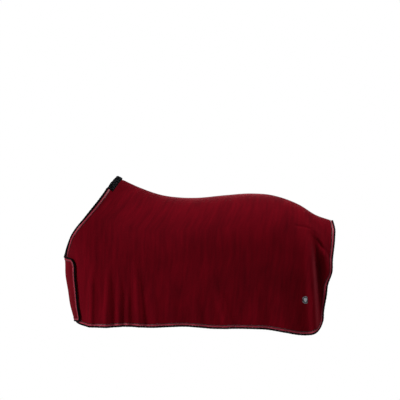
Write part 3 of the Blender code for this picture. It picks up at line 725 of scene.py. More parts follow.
spine_bow = length_along(plain_side(np.array([[0.0, 0.0], [0.0, -0.1], [0.0, -0.2]])))[-1]
print("cloth over the first 0.2 m of drop", round(float(spine_bow), 3), "m")

# %% The side panel
PANEL_COLUMNS = 220
PAD_ROWS = 24
NECK_ROWS = 46
HINGE_ROWS = 72
PAD_ROW, HINGE_ROW = PAD_ROWS, PAD_ROWS + NECK_ROWS  # where the pad ends and the hinge starts


def side_places():
    """The side panel's places (x, z): columns from neck to tail, rows from spine to hem."""
    fall = np.linspace(0, 1, FINE) ** 2
    front_z = WITHERS_Z + (hem_z(HINGE_X) - WITHERS_Z) * fall
    front = np.stack([np.maximum(neckline_x(front_z), HINGE_X), front_z], axis=1)
    rear_z = TAIL_Z + (CORNER_Z - TAIL_Z) * fall
    rear = np.stack([rear_x(rear_z), rear_z], axis=1)
    top_x = np.linspace(WITHERS_X, TAIL_X, FINE)
    top = np.stack([top_x, spine_z(top_x)], axis=1)
    bottom_x = np.linspace(HINGE_X, CORNER_X, FINE)
    bottom = np.stack([bottom_x, hem_z(bottom_x)], axis=1)
    along = length_along(plain_side(front))
    neck = along[np.argmax(front[:, 0] <= HINGE_X)]
    rows = np.concatenate([np.linspace(0, PAD_REACH, PAD_ROWS + 1),
                           np.linspace(PAD_REACH, neck, NECK_ROWS + 1)[1:],
                           np.linspace(neck, along[-1], HINGE_ROWS + 1)[1:]]) / along[-1]
    return filled(plain_side, top, bottom, front, rear, np.linspace(0, 1, PANEL_COLUMNS + 1), rows)


SIDE_PLACES = side_places()
SIDE_Q = root_depth(SIDE_PLACES)
print("side grid", SIDE_PLACES.shape[:2])

# %% The chest flaps
FLAP_COLUMNS = {-1: 56, 1: 74}


def neck_height(u):
    """The height of the neckline at a place round the chest."""
    z = np.linspace(WITHERS_Z, CHEST_Z, FINE)
    share = (neckline_x(z) - throat_x(z)) / (HINGE_X - throat_x(z))
    around = np.arccos(1 - np.clip(share, 0, 1)) * 2 / np.pi
    return np.interp(-np.abs(u), -around, z)


def quarter(centre, reach, start, end):
    """A quarter of an ellipse from one angle to another."""
    angle = np.linspace(start, end, FINE)
    return np.array(centre) + np.stack([reach[0] * np.cos(angle), reach[1] * np.sin(angle)], axis=1)


def flap_places(side, end, low, corner, surface):
    """The flap's places (u, z) from its hinge to its free edge, with both corners rounded."""
    turn = np.sign(end)
    u = np.linspace(side, end - turn * corner[0], FINE)
    past = np.clip(u / u[-1], 0, 1)
    heights = np.where(past > 0, CHEST_Z - OFF_FLAP_TOP_DROP * past, neck_height(u))
    flat_top = np.stack([u, heights], axis=1)
    high = quarter(flat_top[-1] - (0, corner[1]), (turn * corner[0], corner[1]), np.pi / 2, 0)
    below = quarter((end - turn * LOW_CORNER[0], low + LOW_CORNER[1]),
                    (turn * LOW_CORNER[0], LOW_CORNER[1]), 0, -np.pi / 2)
    half = FINE // 2
    top = np.concatenate([flat_top, high[1:half]])
    edge = np.concatenate([high[half - 1:], below[:half]])
    bottom_u = np.linspace(side, end - turn * LOW_CORNER[0], FINE)
    bottom = np.stack([bottom_u, np.interp(bottom_u * side, [end * side, 0, 1],
                                           [low, low, hem_z(HINGE_X)])], axis=1)
    bottom = np.concatenate([bottom, below[:half - 2:-1]])
    front_z = np.linspace(top[0, 1], bottom[0, 1], FINE)
    front = np.stack([np.full(FINE, float(side)), front_z], axis=1)
    rear_z = np.linspace(edge[0, 1], edge[-1, 1], FINE)
    rear = np.stack([np.interp(-rear_z, -edge[:, 1], edge[:, 0]), rear_z], axis=1)
    columns = np.linspace(0, 1, FLAP_COLUMNS[side] + 1)
    return filled(surface, top, bottom, front, rear, columns, np.linspace(0, 1, HINGE_ROWS + 1))


FLAP_PLACES = {
    -1: flap_places(-1, NEAR_FLAP_END, CHEST_HEM[0] * DROP, NEAR_FLAP_CORNER, CHEST[-1]),
    1: flap_places(1, OFF_FLAP_END, CHEST_HEM[1] * DROP, OFF_FLAP_CORNER, CHEST[1]),
}
print("flap grids", {s: p.shape[:2] for s, p in FLAP_PLACES.items()})

# %% [markdown]
# ## From grids to meshes
# A grid of points becomes a mesh of quads. Each mesh also carries a chart, which is a UV map in
# metres: how far along and how far down the piece a point lies. A pattern that reads the chart
# keeps its real size and moves with the cloth. A pattern on Object coordinates would swim
# through the cloth when a flap opens. On the pad and the badge, whose patterns have no
# direction, the chart's first number says how far a point stands proud.

# %% Meshes and charts
CHART = "chart"


def grid_faces(index, turn):
    """Quads of a grid of point numbers, turned over where turn is negative."""
    a, b, c, d = index[:-1, :-1], index[1:, :-1], index[1:, 1:], index[:-1, 1:]
    quads = np.stack([a, b, c, d], -1).reshape(-1, 4)
    return (quads if turn > 0 else quads[:, ::-1]).tolist()


def numbered(grid):
    """The point numbers of a grid."""
    return np.arange(grid.shape[0] * grid.shape[1]).reshape(grid.shape[:2])


def add_mesh(name, points, faces, finish, slot, chart=None):
    """A smooth-shaded mesh object; chart holds two numbers for each point."""
    mesh = bpy.data.meshes.new(name)
    mesh.from_pydata(points.reshape(-1, 3).tolist(), [], faces)
    mesh.polygons.foreach_set("use_smooth", np.ones(len(mesh.polygons), bool))
    if chart is not None:
        corner = np.zeros(len(mesh.loops), np.int32)
        mesh.loops.foreach_get("vertex_index", corner)
        layer = mesh.uv_layers.new(name=CHART)
        layer.data.foreach_set("uv", chart.reshape(-1, 2)[corner].astype(np.float32).ravel())
    mesh.materials.append(finish)
    made = bpy.data.objects.new(name, mesh)
    bpy.context.scene.collection.objects.link(made)
    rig.slot(made, slot)
    print(name, len(mesh.vertices), "points,", len(faces), "faces")
    return made


def thicken(piece, thickness):
    """A Solidify modifier that moves the second face out along the normals."""
    wall = piece.modifiers.new("Thickness", "SOLIDIFY")
    wall.thickness = thickness
    wall.offset = 1.0
    wall.use_even_offset = False


def measured(grid):
    """A chart of a grid: metres along the rows' last line, and metres down each column."""
    across = length_along(grid[:, -1])
    steps = np.linalg.norm(np.diff(grid, axis=1), axis=2)
    down = np.concatenate([np.zeros((len(grid), 1)), np.cumsum(steps, axis=1)], axis=1)
    return np.stack([np.broadcast_to(across[:, None], down.shape), down], axis=-1)


def area_of(points, faces):
    """The area of quads: half the length of the cross product of each one's diagonals."""
    p = points[np.array(faces)]
    cross = np.cross(p[:, 2] - p[:, 0], p[:, 3] - p[:, 1])
    return float(np.linalg.norm(cross, axis=1).sum() / 2)


print("charts are called", CHART)

# %% [markdown]
# ## Burgundy fleece
# Polyester polar fleece is knitted, brushed and sheared, so it scatters light in a soft nap:
# dark where it faces the eye, pale where it is seen edge on. Hair particles would show the
# nap, but at this distance they only cost time. A rough shader with a little sheen gives the
# pale rim. Four noises at real sizes vary the dye and raise the pile.

# %% Fleece
FLEECE_PATTERNS = {  # size in metres, how far it is drawn out down the cloth, and detail
    "tufts": (0.0045, 1, 3),  # real tufts are 2 mm, drawn coarser so that they show
    "pile": (0.012, 1, 2),
    "streaks": (0.022, 8, 2),  # where the brush passed down the cloth
    "clouds": (0.110, 2.5, 2),  # where the nap lies smoother
}


def new_material(name):
    """A material with its node tree and its shader."""
    made = bpy.data.materials.new(name)
    made.use_nodes = True
    return made, made.node_tree, made.node_tree.nodes["Principled BSDF"]


def spots(size, x=1, y=1, z=1):
    """A Mapping's scale for spots size metres across, each way drawn out by its own factor."""
    return 1 / (size * x), 1 / (size * y), 1 / (size * z)


fleece, tree, shader = new_material("polar_fleece_burgundy")
chart = node(tree, "UVMap", {"uv_map": CHART})
pattern = {}
for name, (size, drawn_out, detail) in FLEECE_PATTERNS.items():
    place = node(tree, "Mapping", {"Scale": spots(size, y=drawn_out)}, {"Vector": chart})
    pattern[name] = node(tree, "TexNoise", {"Scale": 1, "Detail": detail}, {"Vector": place})
cloudy = node(tree, "Math", {"operation": "MULTIPLY_ADD", 1: 0.9},
              {0: pattern["clouds"], 2: pattern["tufts"]})
streaked = node(tree, "Math", {"operation": "MULTIPLY_ADD", 1: 1.1},
                {0: pattern["streaks"], 2: cloudy})
nap = node(tree, "MapRange", {"From Min": 1.05, "From Max": 1.95}, {"Value": streaked})
base_colour = node(tree, "Mix", {"data_type": "RGBA", 6: colour("#3b0006"), 7: colour("#54010b")},
           {0: nap}, 2)
rise = node(tree, "Math", {"operation": "MULTIPLY_ADD", 1: 0.8},
            {0: pattern["tufts"], 2: pattern["pile"]})
bump = node(tree, "Bump", {"Distance": 0.0009, "Strength": 0.5}, {"Height": rise})
wire(tree, shader,
     {"Roughness": 0.95, "Specular IOR Level": 0.03, "Sheen Weight": 0.25,
      "Sheen Roughness": 0.30, "Sheen Tint": colour("#d05a68")},
     {"Base Color": base_colour, "Normal": bump})
print("fleece patterns", sorted(FLEECE_PATTERNS))

# %% [markdown]
# ## Rose satin ribbon
# Polyester satin is woven with long floats, so it is smoother and paler than the fleece. Along
# both its edges a dark line is painted as shade, the shadow beside the cloth. A third mesh could
# stand for it, but the chart's second number, which runs across the ribbon, finds both edges.
# The one inside shows wider, because the ribbon is folded off its middle.

# %% Satin
SATIN_MIDDLE = 0.01425  # across the ribbon, halfway between the two shade lines painted along its edges
# width of the dark line painted as shade along each edge of the ribbon
PAINTED_EDGE_SHADE = 0.0042
PAINTED_EDGE_SHADE_BLUR = 0.0006

satin, tree, shader = new_material("woven_satin_ribbon_rose")
chart = node(tree, "UVMap", {"uv_map": CHART})
# The ribs of real satin are 0.5 mm apart. They are drawn coarser so that they show.
place = node(tree, "Mapping", {"Scale": spots(0.0016, y=12)}, {"Vector": chart})
ribs = node(tree, "TexNoise", {"Scale": 1, "Detail": 1}, {"Vector": place})
place = node(tree, "Mapping", {"Scale": spots(0.040)}, {"Vector": chart})
drift = node(tree, "TexNoise", {"Scale": 1, "Detail": 2}, {"Vector": place})
drift = node(tree, "MapRange", {"From Min": 0.35, "From Max": 0.65}, {"Value": drift})
rose = node(tree, "Mix", {"data_type": "RGBA", 6: colour("#681624"), 7: colour("#78202f")},
            {0: drift}, 2)
across = node(tree, "SeparateXYZ", {}, {0: chart}, "Y")
off_middle = node(tree, "Math", {"operation": "SUBTRACT", 1: SATIN_MIDDLE}, {0: across})
off_middle = node(tree, "Math", {"operation": "ABSOLUTE"}, {0: off_middle})
# painted shade: the colour darkens to near black along both edges of the ribbon
edge = SATIN_MIDDLE - PAINTED_EDGE_SHADE
painted_edge_shade = node(tree, "MapRange", {"From Min": edge - PAINTED_EDGE_SHADE_BLUR, "From Max": edge},
                {"Value": off_middle})
edged = node(tree, "Mix", {"data_type": "RGBA", 7: colour("#160507")}, {0: painted_edge_shade, 6: rose}, 2)
bump = node(tree, "Bump", {"Distance": 0.0003, "Strength": 0.5}, {"Height": ribs})
wire(tree, shader,
     {"Roughness": 0.45, "Specular IOR Level": 0.14, "Sheen Weight": 0.04,
      "Sheen Roughness": 0.3, "Sheen Tint": colour("#e07a88")},
     {"Base Color": edged, "Normal": bump})
print("painted_edge_shade", PAINTED_EDGE_SHADE * 1000, "mm")

# %% [markdown]
# ## Black cord and black plush
# The cord is twisted polyester. Its plies are in the mesh, so the material only adds fibres.
# The plush is a curly acrylic pile, so deep that it swallows light and only the tips of its
# curls show. The curls are in the mesh too, and the chart tells the colour how high each
# stands, so the colour paints a highlight on the tips and shade in the hollows. Occlusion
# would find the tips as well, but it is slow.

# %% Cord
cord_black, tree, shader = new_material("twisted_polyester_cord_black")
spot = node(tree, "TexCoord", gives="Object")
place = node(tree, "Mapping", {"Scale": spots(0.0012)}, {"Vector": spot})
fibre = node(tree, "TexNoise", {"Scale": 1, "Detail": 2}, {"Vector": place})
base_colour = node(tree, "Mix", {"data_type": "RGBA", 6: colour("#040303"), 7: colour("#0d0b0b")},
           {0: fibre}, 2)
bump = node(tree, "Bump", {"Distance": 0.0003, "Strength": 0.6}, {"Height": fibre})
wire(tree, shader, {"Roughness": 0.85, "Specular IOR Level": 0.03},
     {"Base Color": base_colour, "Normal": bump})
print("cord fibres 1.2 mm")

# %% Plush
plush, tree, shader = new_material("curly_acrylic_plush_black")
spot = node(tree, "TexCoord", gives="Object")
place = node(tree, "Mapping", {"Scale": spots(0.0030)}, {"Vector": spot})
hairs = node(tree, "TexNoise", {"Scale": 1, "Detail": 3}, {"Vector": place})
chart = node(tree, "UVMap", {"uv_map": CHART})
# painted light: the colour is pale grey on the curl tips as a highlight and black in the hollows as shade
tips = node(tree, "SeparateXYZ", {}, {0: chart}, "X")
painted_curl_light = node(tree, "Math", {"operation": "MULTIPLY_ADD", 1: 0.5}, {0: hairs, 2: tips})
painted_curl_light = node(tree, "MapRange", {"From Min": 0.75, "From Max": 1.35}, {"Value": painted_curl_light})
base_colour = node(tree, "Mix", {"data_type": "RGBA", 6: colour("#010101"), 7: colour("#2e2e32")},
           {0: painted_curl_light}, 2)
bump = node(tree, "Bump", {"Distance": 0.0016, "Strength": 0.9}, {"Height": hairs})
wire(tree, shader,
     {"Roughness": 1.0, "Specular IOR Level": 0.03, "Sheen Weight": 0.01,
      "Sheen Roughness": 0.5, "Sheen Tint": colour("#8c8c94")},
     {"Base Color": base_colour, "Normal": bump})
print("plush hairs 3 mm")

# %% [markdown]
# ## Thread and tapes
# Sewing thread is near black and lies in the nap, so it reads as a fine dark line. The tape
# inside the spine seam is a cotton twill with a flat diagonal rib, for which a wave texture is
# simplest. The closure tapes are woven nylon, with stiff hooks in rows or a looser felt of
# loops. Both are cells of a Voronoi texture, of different sizes.

# %% Thread and twill
thread, tree, shader = new_material("polyester_thread_dark")
spot = node(tree, "TexCoord", gives="Object")
place = node(tree, "Mapping", {"Scale": spots(0.0008)}, {"Vector": spot})
ply = node(tree, "TexNoise", {"Scale": 1, "Detail": 1}, {"Vector": place})
base_colour = node(tree, "Mix", {"data_type": "RGBA", 6: colour("#1c0307"), 7: colour("#2c070d")},
           {0: ply}, 2)
wire(tree, shader, {"Roughness": 0.5}, {"Base Color": base_colour})

tape_red, tree, shader = new_material("cotton_twill_tape_burgundy")
chart = node(tree, "UVMap", {"uv_map": CHART})
twill = node(tree, "TexWave", {"Scale": 1 / 0.004, "bands_direction": "DIAGONAL",
                               "Distortion": 0.4}, {"Vector": chart}, "Fac")
base_colour = node(tree, "Mix", {"data_type": "RGBA", 6: colour("#3b0a12"), 7: colour("#54111c")},
           {0: twill}, 2)
bump = node(tree, "Bump", {"Distance": 0.0003, "Strength": 0.6}, {"Height": twill})
wire(tree, shader, {"Roughness": 0.8}, {"Base Color": base_colour, "Normal": bump})
print("thread and twill")

# %% Hook tape and loop tape
CLOSURE_TAPES = {"hook": (0.0018, 0.0012), "loop": (0.0028, 0.0008)}  # cell and height, metres
closure = {}
for kind, (cell, rise) in CLOSURE_TAPES.items():
    closure[kind], tree, shader = new_material(f"nylon_{kind}_tape_black")
    chart = node(tree, "UVMap", {"uv_map": CHART})
    cells = node(tree, "TexVoronoi", {"Scale": 1 / cell}, {"Vector": chart}, "Distance")
    base_colour = node(tree, "Mix", {"data_type": "RGBA", 6: colour("#1a1a1c"), 7: colour("#060606")},
               {0: cells}, 2)
    bump = node(tree, "Bump", {"Distance": rise, "Strength": 0.8}, {"Height": cells})
    wire(tree, shader, {"Roughness": 0.7, "Sheen Weight": 0.2}, {"Base Color": base_colour, "Normal": bump})
print("closure tapes", sorted(closure))

# %% [markdown]
# ## Gunmetal
# The badge is die-cast zinc with a gunmetal plating, which is then brushed. The brush polishes
# what stands proud and leaves the plating dark in the hollows. The chart's first number says
# which is which, and fine drawn-out lines are the brush marks, in colour, gloss and bump.

# %% Gunmetal
gunmetal, tree, shader = new_material("brushed_gunmetal_zinc")
spot = node(tree, "TexCoord", gives="Object")
place = node(tree, "Mapping", {"Scale": spots(0.0006, z=18)}, {"Vector": spot})
lines = node(tree, "TexNoise", {"Scale": 1, "Detail": 2}, {"Vector": place})
chart = node(tree, "UVMap", {"uv_map": CHART})
relief = node(tree, "SeparateXYZ", {}, {0: chart}, "X")
worn = node(tree, "Math", {"operation": "MULTIPLY_ADD", 1: 0.15}, {0: lines, 2: relief})
metal = node(tree, "Mix", {"data_type": "RGBA", 6: colour("#2a2c30"), 7: colour("#9da0a6")},
             {0: worn}, 2)
gloss = node(tree, "MapRange", {"From Min": -1.2, "From Max": 2.6}, {"Value": lines})
bump = node(tree, "Bump", {"Distance": 0.00008, "Strength": 0.5}, {"Height": lines})
wire(tree, shader, {"Metallic": 1.0}, {"Base Color": metal, "Roughness": gloss, "Normal": bump})
print("materials", len(bpy.data.materials))

# %% [markdown]
# ## Laying the fleece
# The cloth's inner face is the surface moved out by the gap that the binding needs, and a
# Solidify modifier gives it its 3 mm. Blend lets the cloth bend round the hinge line when a
# flap opens, as real fleece does, while the panel behind it stays on the horse.

# %% The two cloths
BLEND = {  # from the hinge line forward and a little inward, on each side
    -1: ("near_flap", (-0.64, -0.25, 0.0), (-0.76, -0.215, 0.0)),
    1: ("off_flap", (-0.64, 0.25, 0.0), (-0.76, 0.215, 0.0)),
}
SIDE_WORD = {-1: "near", 1: "off"}
CUT_SIZE = (1.16, 2.02)  # of the piece of fleece that one side is cut from, in metres


def bend_with_flap(piece, side):
    """Lets a piece ride on root and, past the hinge line, on its side's flap."""
    body, start, end = BLEND[side]
    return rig.blend(piece, "root", body, start=start, end=end)


cloth_area = {}
for side, word in SIDE_WORD.items():
    panel = SIDE[side](SIDE_Q)
    panel_out = out_of(SIDE[side], SIDE_Q, side)
    flap = CHEST[side](FLAP_PLACES[side])
    flap_out = out_of(CHEST[side], FLAP_PLACES[side], -1)
    panel_chart, flap_chart = measured(panel), measured(flap)
    flap_chart[..., 0] *= -1
    flap_chart[..., 1] += panel_chart[0, HINGE_ROW, 1]
    index = numbered(panel)
    flap_index = np.concatenate([index[:1, HINGE_ROW:], index.size + numbered(flap[1:])])
    points = np.concatenate([panel.reshape(-1, 3), flap[1:].reshape(-1, 3)])
    out = np.concatenate([panel_out.reshape(-1, 3), flap_out[1:].reshape(-1, 3)])
    chart = np.concatenate([panel_chart.reshape(-1, 2), flap_chart[1:].reshape(-1, 2)])
    faces = grid_faces(index, side) + grid_faces(flap_index, -side)
    cloth_area[side] = area_of(points, faces)
    cloth = add_mesh(f"{word}_cloth", points + out * CLOTH_INSIDE, faces, fleece,
                     "burgundy_fleece", chart)
    thicken(cloth, CLOTH)
    bend_with_flap(cloth, side)
    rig.replaces(cloth, f"{word}_side_panel", f"{word}_chest_flap")
    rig.sheet(cloth, flat=CUT_SIZE, held="draped", area=round(cloth_area[side], 2))
print("cloth area", {SIDE_WORD[s]: round(a, 3) for s, a in cloth_area.items()})

# %% [markdown]
# ## What runs along an edge
# Binding, piping, stitches and pad all follow a cut edge of the cloth. So each is a profile
# carried along one path: the edge, stepped evenly. At every step there are three directions:
# along the edge, inward over the cloth, and out of it. Inward steps of 4 mm are walked over
# the surface, so a wide profile bends with the folds instead of cutting through them.

# %% A path and a profile carried along it
PATH_STEP = 0.0025
INWARD_STEP = 0.004


def frames(surface, turn, places, inward_sign, width):
    """For places along an edge: lines of points over the cloth further and further inward.

    Returns the points (lines, steps, 3), their normals, and the direction inward at the edge.
    The direction inward is the cross product of the normal and the direction along the edge.
    """
    along = length_along(surface(places))
    count = max(2, round(along[-1] / PATH_STEP))
    q = respaced(places, along, np.linspace(0, along[-1], count + 1))
    edge = surface(q)
    run = unit(np.gradient(edge, axis=0))
    run = unit(run + np.roll(run, 1, 0) * (np.arange(len(run)) > 0)[:, None]
               + np.roll(run, -1, 0) * (np.arange(len(run)) < len(run) - 1)[:, None])
    lines, outs = [edge], [out_of(surface, q, turn)]
    first_inward = unit(np.cross(outs[0], run)) * inward_sign
    inward = first_inward
    for _ in range(round(width / INWARD_STEP)):
        q = walked(surface, q, inward, INWARD_STEP)
        lines.append(surface(q))
        outs.append(out_of(surface, q, turn))
        inward = unit(np.cross(outs[-1], run)) * inward_sign
    return np.stack(lines), np.stack(outs), first_inward


def joined(parts):
    """Frames of consecutive edges end to end, without repeating the point where they meet."""
    lines = np.concatenate([parts[0][0]] + [p[0][:, 1:] for p in parts[1:]], axis=1)
    outs = np.concatenate([parts[0][1]] + [p[1][:, 1:] for p in parts[1:]], axis=1)
    inward = np.concatenate([parts[0][2]] + [p[2][1:] for p in parts[1:]])
    return lines, outs, inward


def carried(path, profile):
    """Points (steps, profile points, 3) of a profile of (inward, outward) pairs along a path.

    Inward of the edge a point lies between two of the path's lines, by linear interpolation,
    and then out along the normal. Beyond the edge it lies straight out from it.
    """
    lines, outs, inward = path
    points = []
    for across, height in profile:
        k = min(int(max(across, 0) / INWARD_STEP), len(lines) - 2)
        t = max(across, 0) / INWARD_STEP - k
        base = lines[k] * (1 - t) + lines[k + 1] * t + inward * min(across, 0)
        points.append(base + unit(outs[k] * (1 - t) + outs[k + 1] * t) * height)
    return np.stack(points, axis=1)


def run_lengths(grid):
    """Metres along a path from its start, from its first line of points."""
    return length_along(grid[:, 0])


print("a path takes a step every", PATH_STEP * 1000, "mm")

# %% The paths round the rug's edge
side_column = SIDE_Q[0]
EDGE_PATHS, NECK_PATHS = {}, {}
for side in SIDE_WORD:
    flap = FLAP_PLACES[side]
    around = np.concatenate([flap[:, 0], flap[-1, 1:], flap[-2::-1, -1]])
    hem_rear = np.concatenate([SIDE_Q[:, -1], SIDE_Q[-1, -2::-1]])
    NECK_PATHS[side] = frames(SIDE[side], side, side_column[PAD_ROW:HINGE_ROW + 1], -side,
                              BINDING_WIDTH)
    EDGE_PATHS[side] = joined([
        NECK_PATHS[side],
        frames(CHEST[side], -1, around, -side, BINDING_WIDTH),
        frames(SIDE[side], side, hem_rear, -side, BINDING_WIDTH),
    ])
print("edge lengths", {SIDE_WORD[s]: round(float(length_along(p[0][0])[-1]), 3)
                       for s, p in EDGE_PATHS.items()})

# %% [markdown]
# ## Satin binding
# A ribbon is folded over the raw edge and sewn through all three layers, so 12 mm of it shows
# on each face. It is drawn in a little by the sewing, which leaves fine puckers between the
# stitch line and the fold. The ribbon is one strip from the pad round the flap, along the hem
# and up to the tail, and its length and width give the size that it was cut to.

# %% The ribbon
PUCKER = 0.00035
PUCKER_LENGTH = 0.013
PUCKER_DRIFT = (1.7, 0.061)  # how unevenly the puckers follow each other, and over what length
RIBBON_SWELL = 0.0004  # how far a face stands up between the stitches and the fold
HEM_PRESS = 0.0003  # how far its outside hem is pressed down
FOLD_REACH = 0.4  # of the fold past the cloth's edge, as a share of its radius
FOLD_BLUNTNESS = 0.8  # 1 for a round fold, less for a flatter one
FACE_POINTS, FOLD_POINTS = 6, 7


def folded_profile(width, clearance):
    """(inward, outward) from the outside hem of a ribbon round the fold to the inside hem."""
    face = np.linspace(width, 0, FACE_POINTS)
    swell = RIBBON_SWELL * np.sin(np.pi * np.clip(face / width, 0, 1))
    pressed = CLOTH_OUTSIDE + clearance + swell - HEM_PRESS * (face == width)
    outer = np.stack([face, pressed], axis=1)
    radius = (CLOTH_OUTSIDE - CLOTH_INSIDE) / 2 + clearance
    angle = np.linspace(np.pi / 2, -np.pi / 2, FOLD_POINTS)[1:-1]
    turn = np.stack([-(EDGE_GAP + FOLD_REACH * radius) * np.cos(angle) ** FOLD_BLUNTNESS,
                     CLOTH_MIDDLE + radius * np.sin(angle)], axis=1)
    inner = np.stack([face[::-1], CLOTH_INSIDE - clearance - swell[::-1]], axis=1)
    return np.concatenate([outer, turn, inner])


def ribbon(path, width, clearance):
    """The folded profile carried along a path, with a sine wave of puckers on its faces."""
    profile = folded_profile(width, clearance)
    grid = carried(path, profile)
    s = run_lengths(grid)[:, None]
    bell = np.sin(np.pi * np.clip(profile[:, 0] / width, 0, 1))[None]
    sway, sway_length = PUCKER_DRIFT
    wave = np.sin(2 * np.pi * s / PUCKER_LENGTH + sway * np.sin(s / sway_length))
    face = np.where(profile[:, 1] > CLOTH_MIDDLE, 1.0, -1.0)[None]
    grid = grid + path[1][0][:, None] * (PUCKER * wave * bell * face)[..., None]
    chart = np.stack(np.broadcast_arrays(s, length_along(profile)[None]), axis=-1)
    return grid, chart


print("ribbon profile", len(folded_profile(BINDING_WIDTH, GAP)), "points")

# %% Both bindings
for side, word in SIDE_WORD.items():
    grid, chart = ribbon(EDGE_PATHS[side], BINDING_WIDTH, GAP)
    piece = add_mesh(f"{word}_binding", grid, grid_faces(numbered(grid), side), satin,
                     "satin_binding", chart)
    thicken(piece, TAPE)
    bend_with_flap(piece, side)
    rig.replaces(piece, f"{word}_hem_binding", f"{word}_neck_binding", f"{word}_flap_binding")
    width, length = float(chart[0, -1, 1]), float(chart[-1, 0, 0])
    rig.sheet(piece, flat=(round(width, 4), round(length, 3)), held="folded",
             rests_on=[f"{word}_cloth"])
    print(word, "ribbon", round(width * 1000), "mm by", round(length, 2), "m")

# %% [markdown]
# ## Piping
# Outside the ribbon runs a black cord, which keeps the edge from curling. It is two plies
# twisted together. A bevelled curve would make a smooth tube, and a tube for each ply doubles
# the faces. So the twist is a ripple of one tube's radius that turns once in every lay. The
# cord is sewn to the edge for its whole length, so it is a part of the rug and hangs nowhere.

# %% A twisted cord
CORD_LAY = 0.022
CORD_SIDES = 12
CORD_RIPPLE = 0.07
CORD_GAP = 0.0002
CORD_TIP = 0.12  # share of the radius that is left at a cord's end, squared
NECK_BLEND = 0.10  # metres in which the neck's thicker cord thins to the hem's


def twisted_cord(centre, out, beside, radius):
    """Radius r(1 - k + k cos 2(a - pi s / lay)) at angle a round the path, s metres along it."""
    s = length_along(centre)[:, None]
    a = np.linspace(0, 2 * np.pi, CORD_SIDES, endpoint=False)[None]
    r = radius[:, None] * (1 - CORD_RIPPLE + CORD_RIPPLE * np.cos(2 * (a - np.pi * s / CORD_LAY)))
    ends = np.sqrt(np.clip(np.minimum(s, s[-1] - s) / PIPING_RADIUS, CORD_TIP, 1))
    r = (r * ends)[..., None]
    return centre[:, None] + (out[:, None] * np.cos(a)[..., None]
                              + beside[:, None] * np.sin(a)[..., None]) * r


def tube_faces(steps, sides):
    """Quads round a tube, and one face over each end."""
    index = np.arange(steps * sides).reshape(steps, sides)
    ring = np.roll(index, -1, axis=1)
    quads = np.stack([index[:-1], ring[:-1], ring[1:], index[1:]], -1).reshape(-1, 4)
    return quads.tolist() + [index[0, ::-1].tolist(), index[-1].tolist()]


print("cord lay", CORD_LAY * 1000, "mm")

# %% Both pipings
for side, word in SIDE_WORD.items():
    lines, outs, inward = EDGE_PATHS[side]
    neck_length = float(length_along(NECK_PATHS[side][0][0])[-1])
    past_neck = ease(0.5 + (length_along(lines[0]) - neck_length) / NECK_BLEND)
    radius = NECK_PIPING_RADIUS + (PIPING_RADIUS - NECK_PIPING_RADIUS) * past_neck
    reach = EDGE_GAP + TAPE + CORD_GAP + radius
    centre = lines[0] - inward * reach[:, None] + outs[0] * CLOTH_MIDDLE
    run = unit(np.gradient(centre, axis=0))
    beside = unit(np.cross(outs[0], run))
    points = twisted_cord(centre, outs[0], beside, radius)
    faces = tube_faces(len(centre), CORD_SIDES)
    facing = np.cross(points[0, 1] - points[0, 0], points[1, 0] - points[0, 0])
    if np.dot(facing, points[0, 0] - centre[0]) < 0:
        faces = [f[::-1] for f in faces]
    piece = add_mesh(f"{word}_piping", points, faces, cord_black, "black_piping")
    bend_with_flap(piece, side)
    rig.replaces(piece, f"{word}_hem_piping", f"{word}_neck_piping", f"{word}_flap_piping")
    print(word, "cord", round(float(length_along(centre)[-1]), 2), "m")

# %% [markdown]
# ## Stitches
# A lockstitch shows as a row of short raised threads with small gaps. Each stitch is the same
# five-sided bead, set along the path by its three directions, and there are about a thousand
# in a row, so a bead has only a few faces. One row holds each face of the binding.

# %% A row of stitches
STITCH_PITCH = 0.0048
STITCH_LENGTH = 0.0036
THREAD_RADIUS = 0.00045
STITCH_SIDES = 5
STITCH_RINGS = (  # place along the stitch, thickness and height: low at its ends, raised between
    np.array([-0.5, -0.3, 0.3, 0.5]) * STITCH_LENGTH,
    np.array([0.45, 1.0, 1.0, 0.45]) * THREAD_RADIUS,
    np.array([-0.6, 0.5, 0.5, -0.6]) * THREAD_RADIUS)


def stitches(rows):
    """Beads at even steps along rows: each point is middle + run t + out h + r (cos a, sin a)."""
    places = []
    for line, outs in rows:
        along = length_along(line)
        wanted = np.arange(STITCH_PITCH, along[-1] - STITCH_PITCH, STITCH_PITCH)
        ahead = respaced(line, along, wanted + STITCH_LENGTH / 2)
        behind = respaced(line, along, wanted - STITCH_LENGTH / 2)
        places.append((respaced(line, along, wanted), unit(ahead - behind),
                       unit(respaced(outs, along, wanted))))
    middle, run, out = (np.concatenate(part)[:, None, None] for part in zip(*places))
    t, size, lift = (ring[:, None] for ring in STITCH_RINGS)
    a = np.linspace(0, 2 * np.pi, STITCH_SIDES, endpoint=False)
    points = (middle + run * t[..., None] + out * (lift + size * np.sin(a))[..., None]
              + np.cross(out, run) * (size * np.cos(a))[..., None])
    bead = tube_faces(len(t), STITCH_SIDES)
    first = np.arange(len(middle))[:, None] * len(t) * STITCH_SIDES
    return points, [f for face in bead for f in (first + np.array(face)).tolist()]


print("a stitch every", STITCH_PITCH * 1000, "mm")

# %% Stitches of the bindings
STITCH_INSET = 0.0018  # from the ribbon's hem

for side, word in SIDE_WORD.items():
    path = EDGE_PATHS[side]
    inset = BINDING_WIDTH - STITCH_INSET
    outer = carried(path, [(inset, CLOTH_OUTSIDE + GAP + TAPE)])[:, 0]
    inner = carried(path, [(inset, CLOTH_INSIDE - GAP - TAPE)])[:, 0]
    points, faces = stitches([(outer, path[1][0]), (inner, -path[1][0])])
    piece = add_mesh(f"{word}_binding_stitches", points, faces, thread, "satin_binding")
    bend_with_flap(piece, side)

# %% [markdown]
# ## Spine seam
# The two side panels are sewn together along the spine. Outside, the seam shows as a low
# ridge of folded fleece between two rows of stitches. Inside, a twill tape covers the raw
# edges so that they can't rub. Both run from the pad to the binding at the tail.

# %% The seam's path
SEAM_START = 0.030  # behind the withers, where the pad ends
TAPE_HALF = SPINE_TAPE_WIDTH / 2

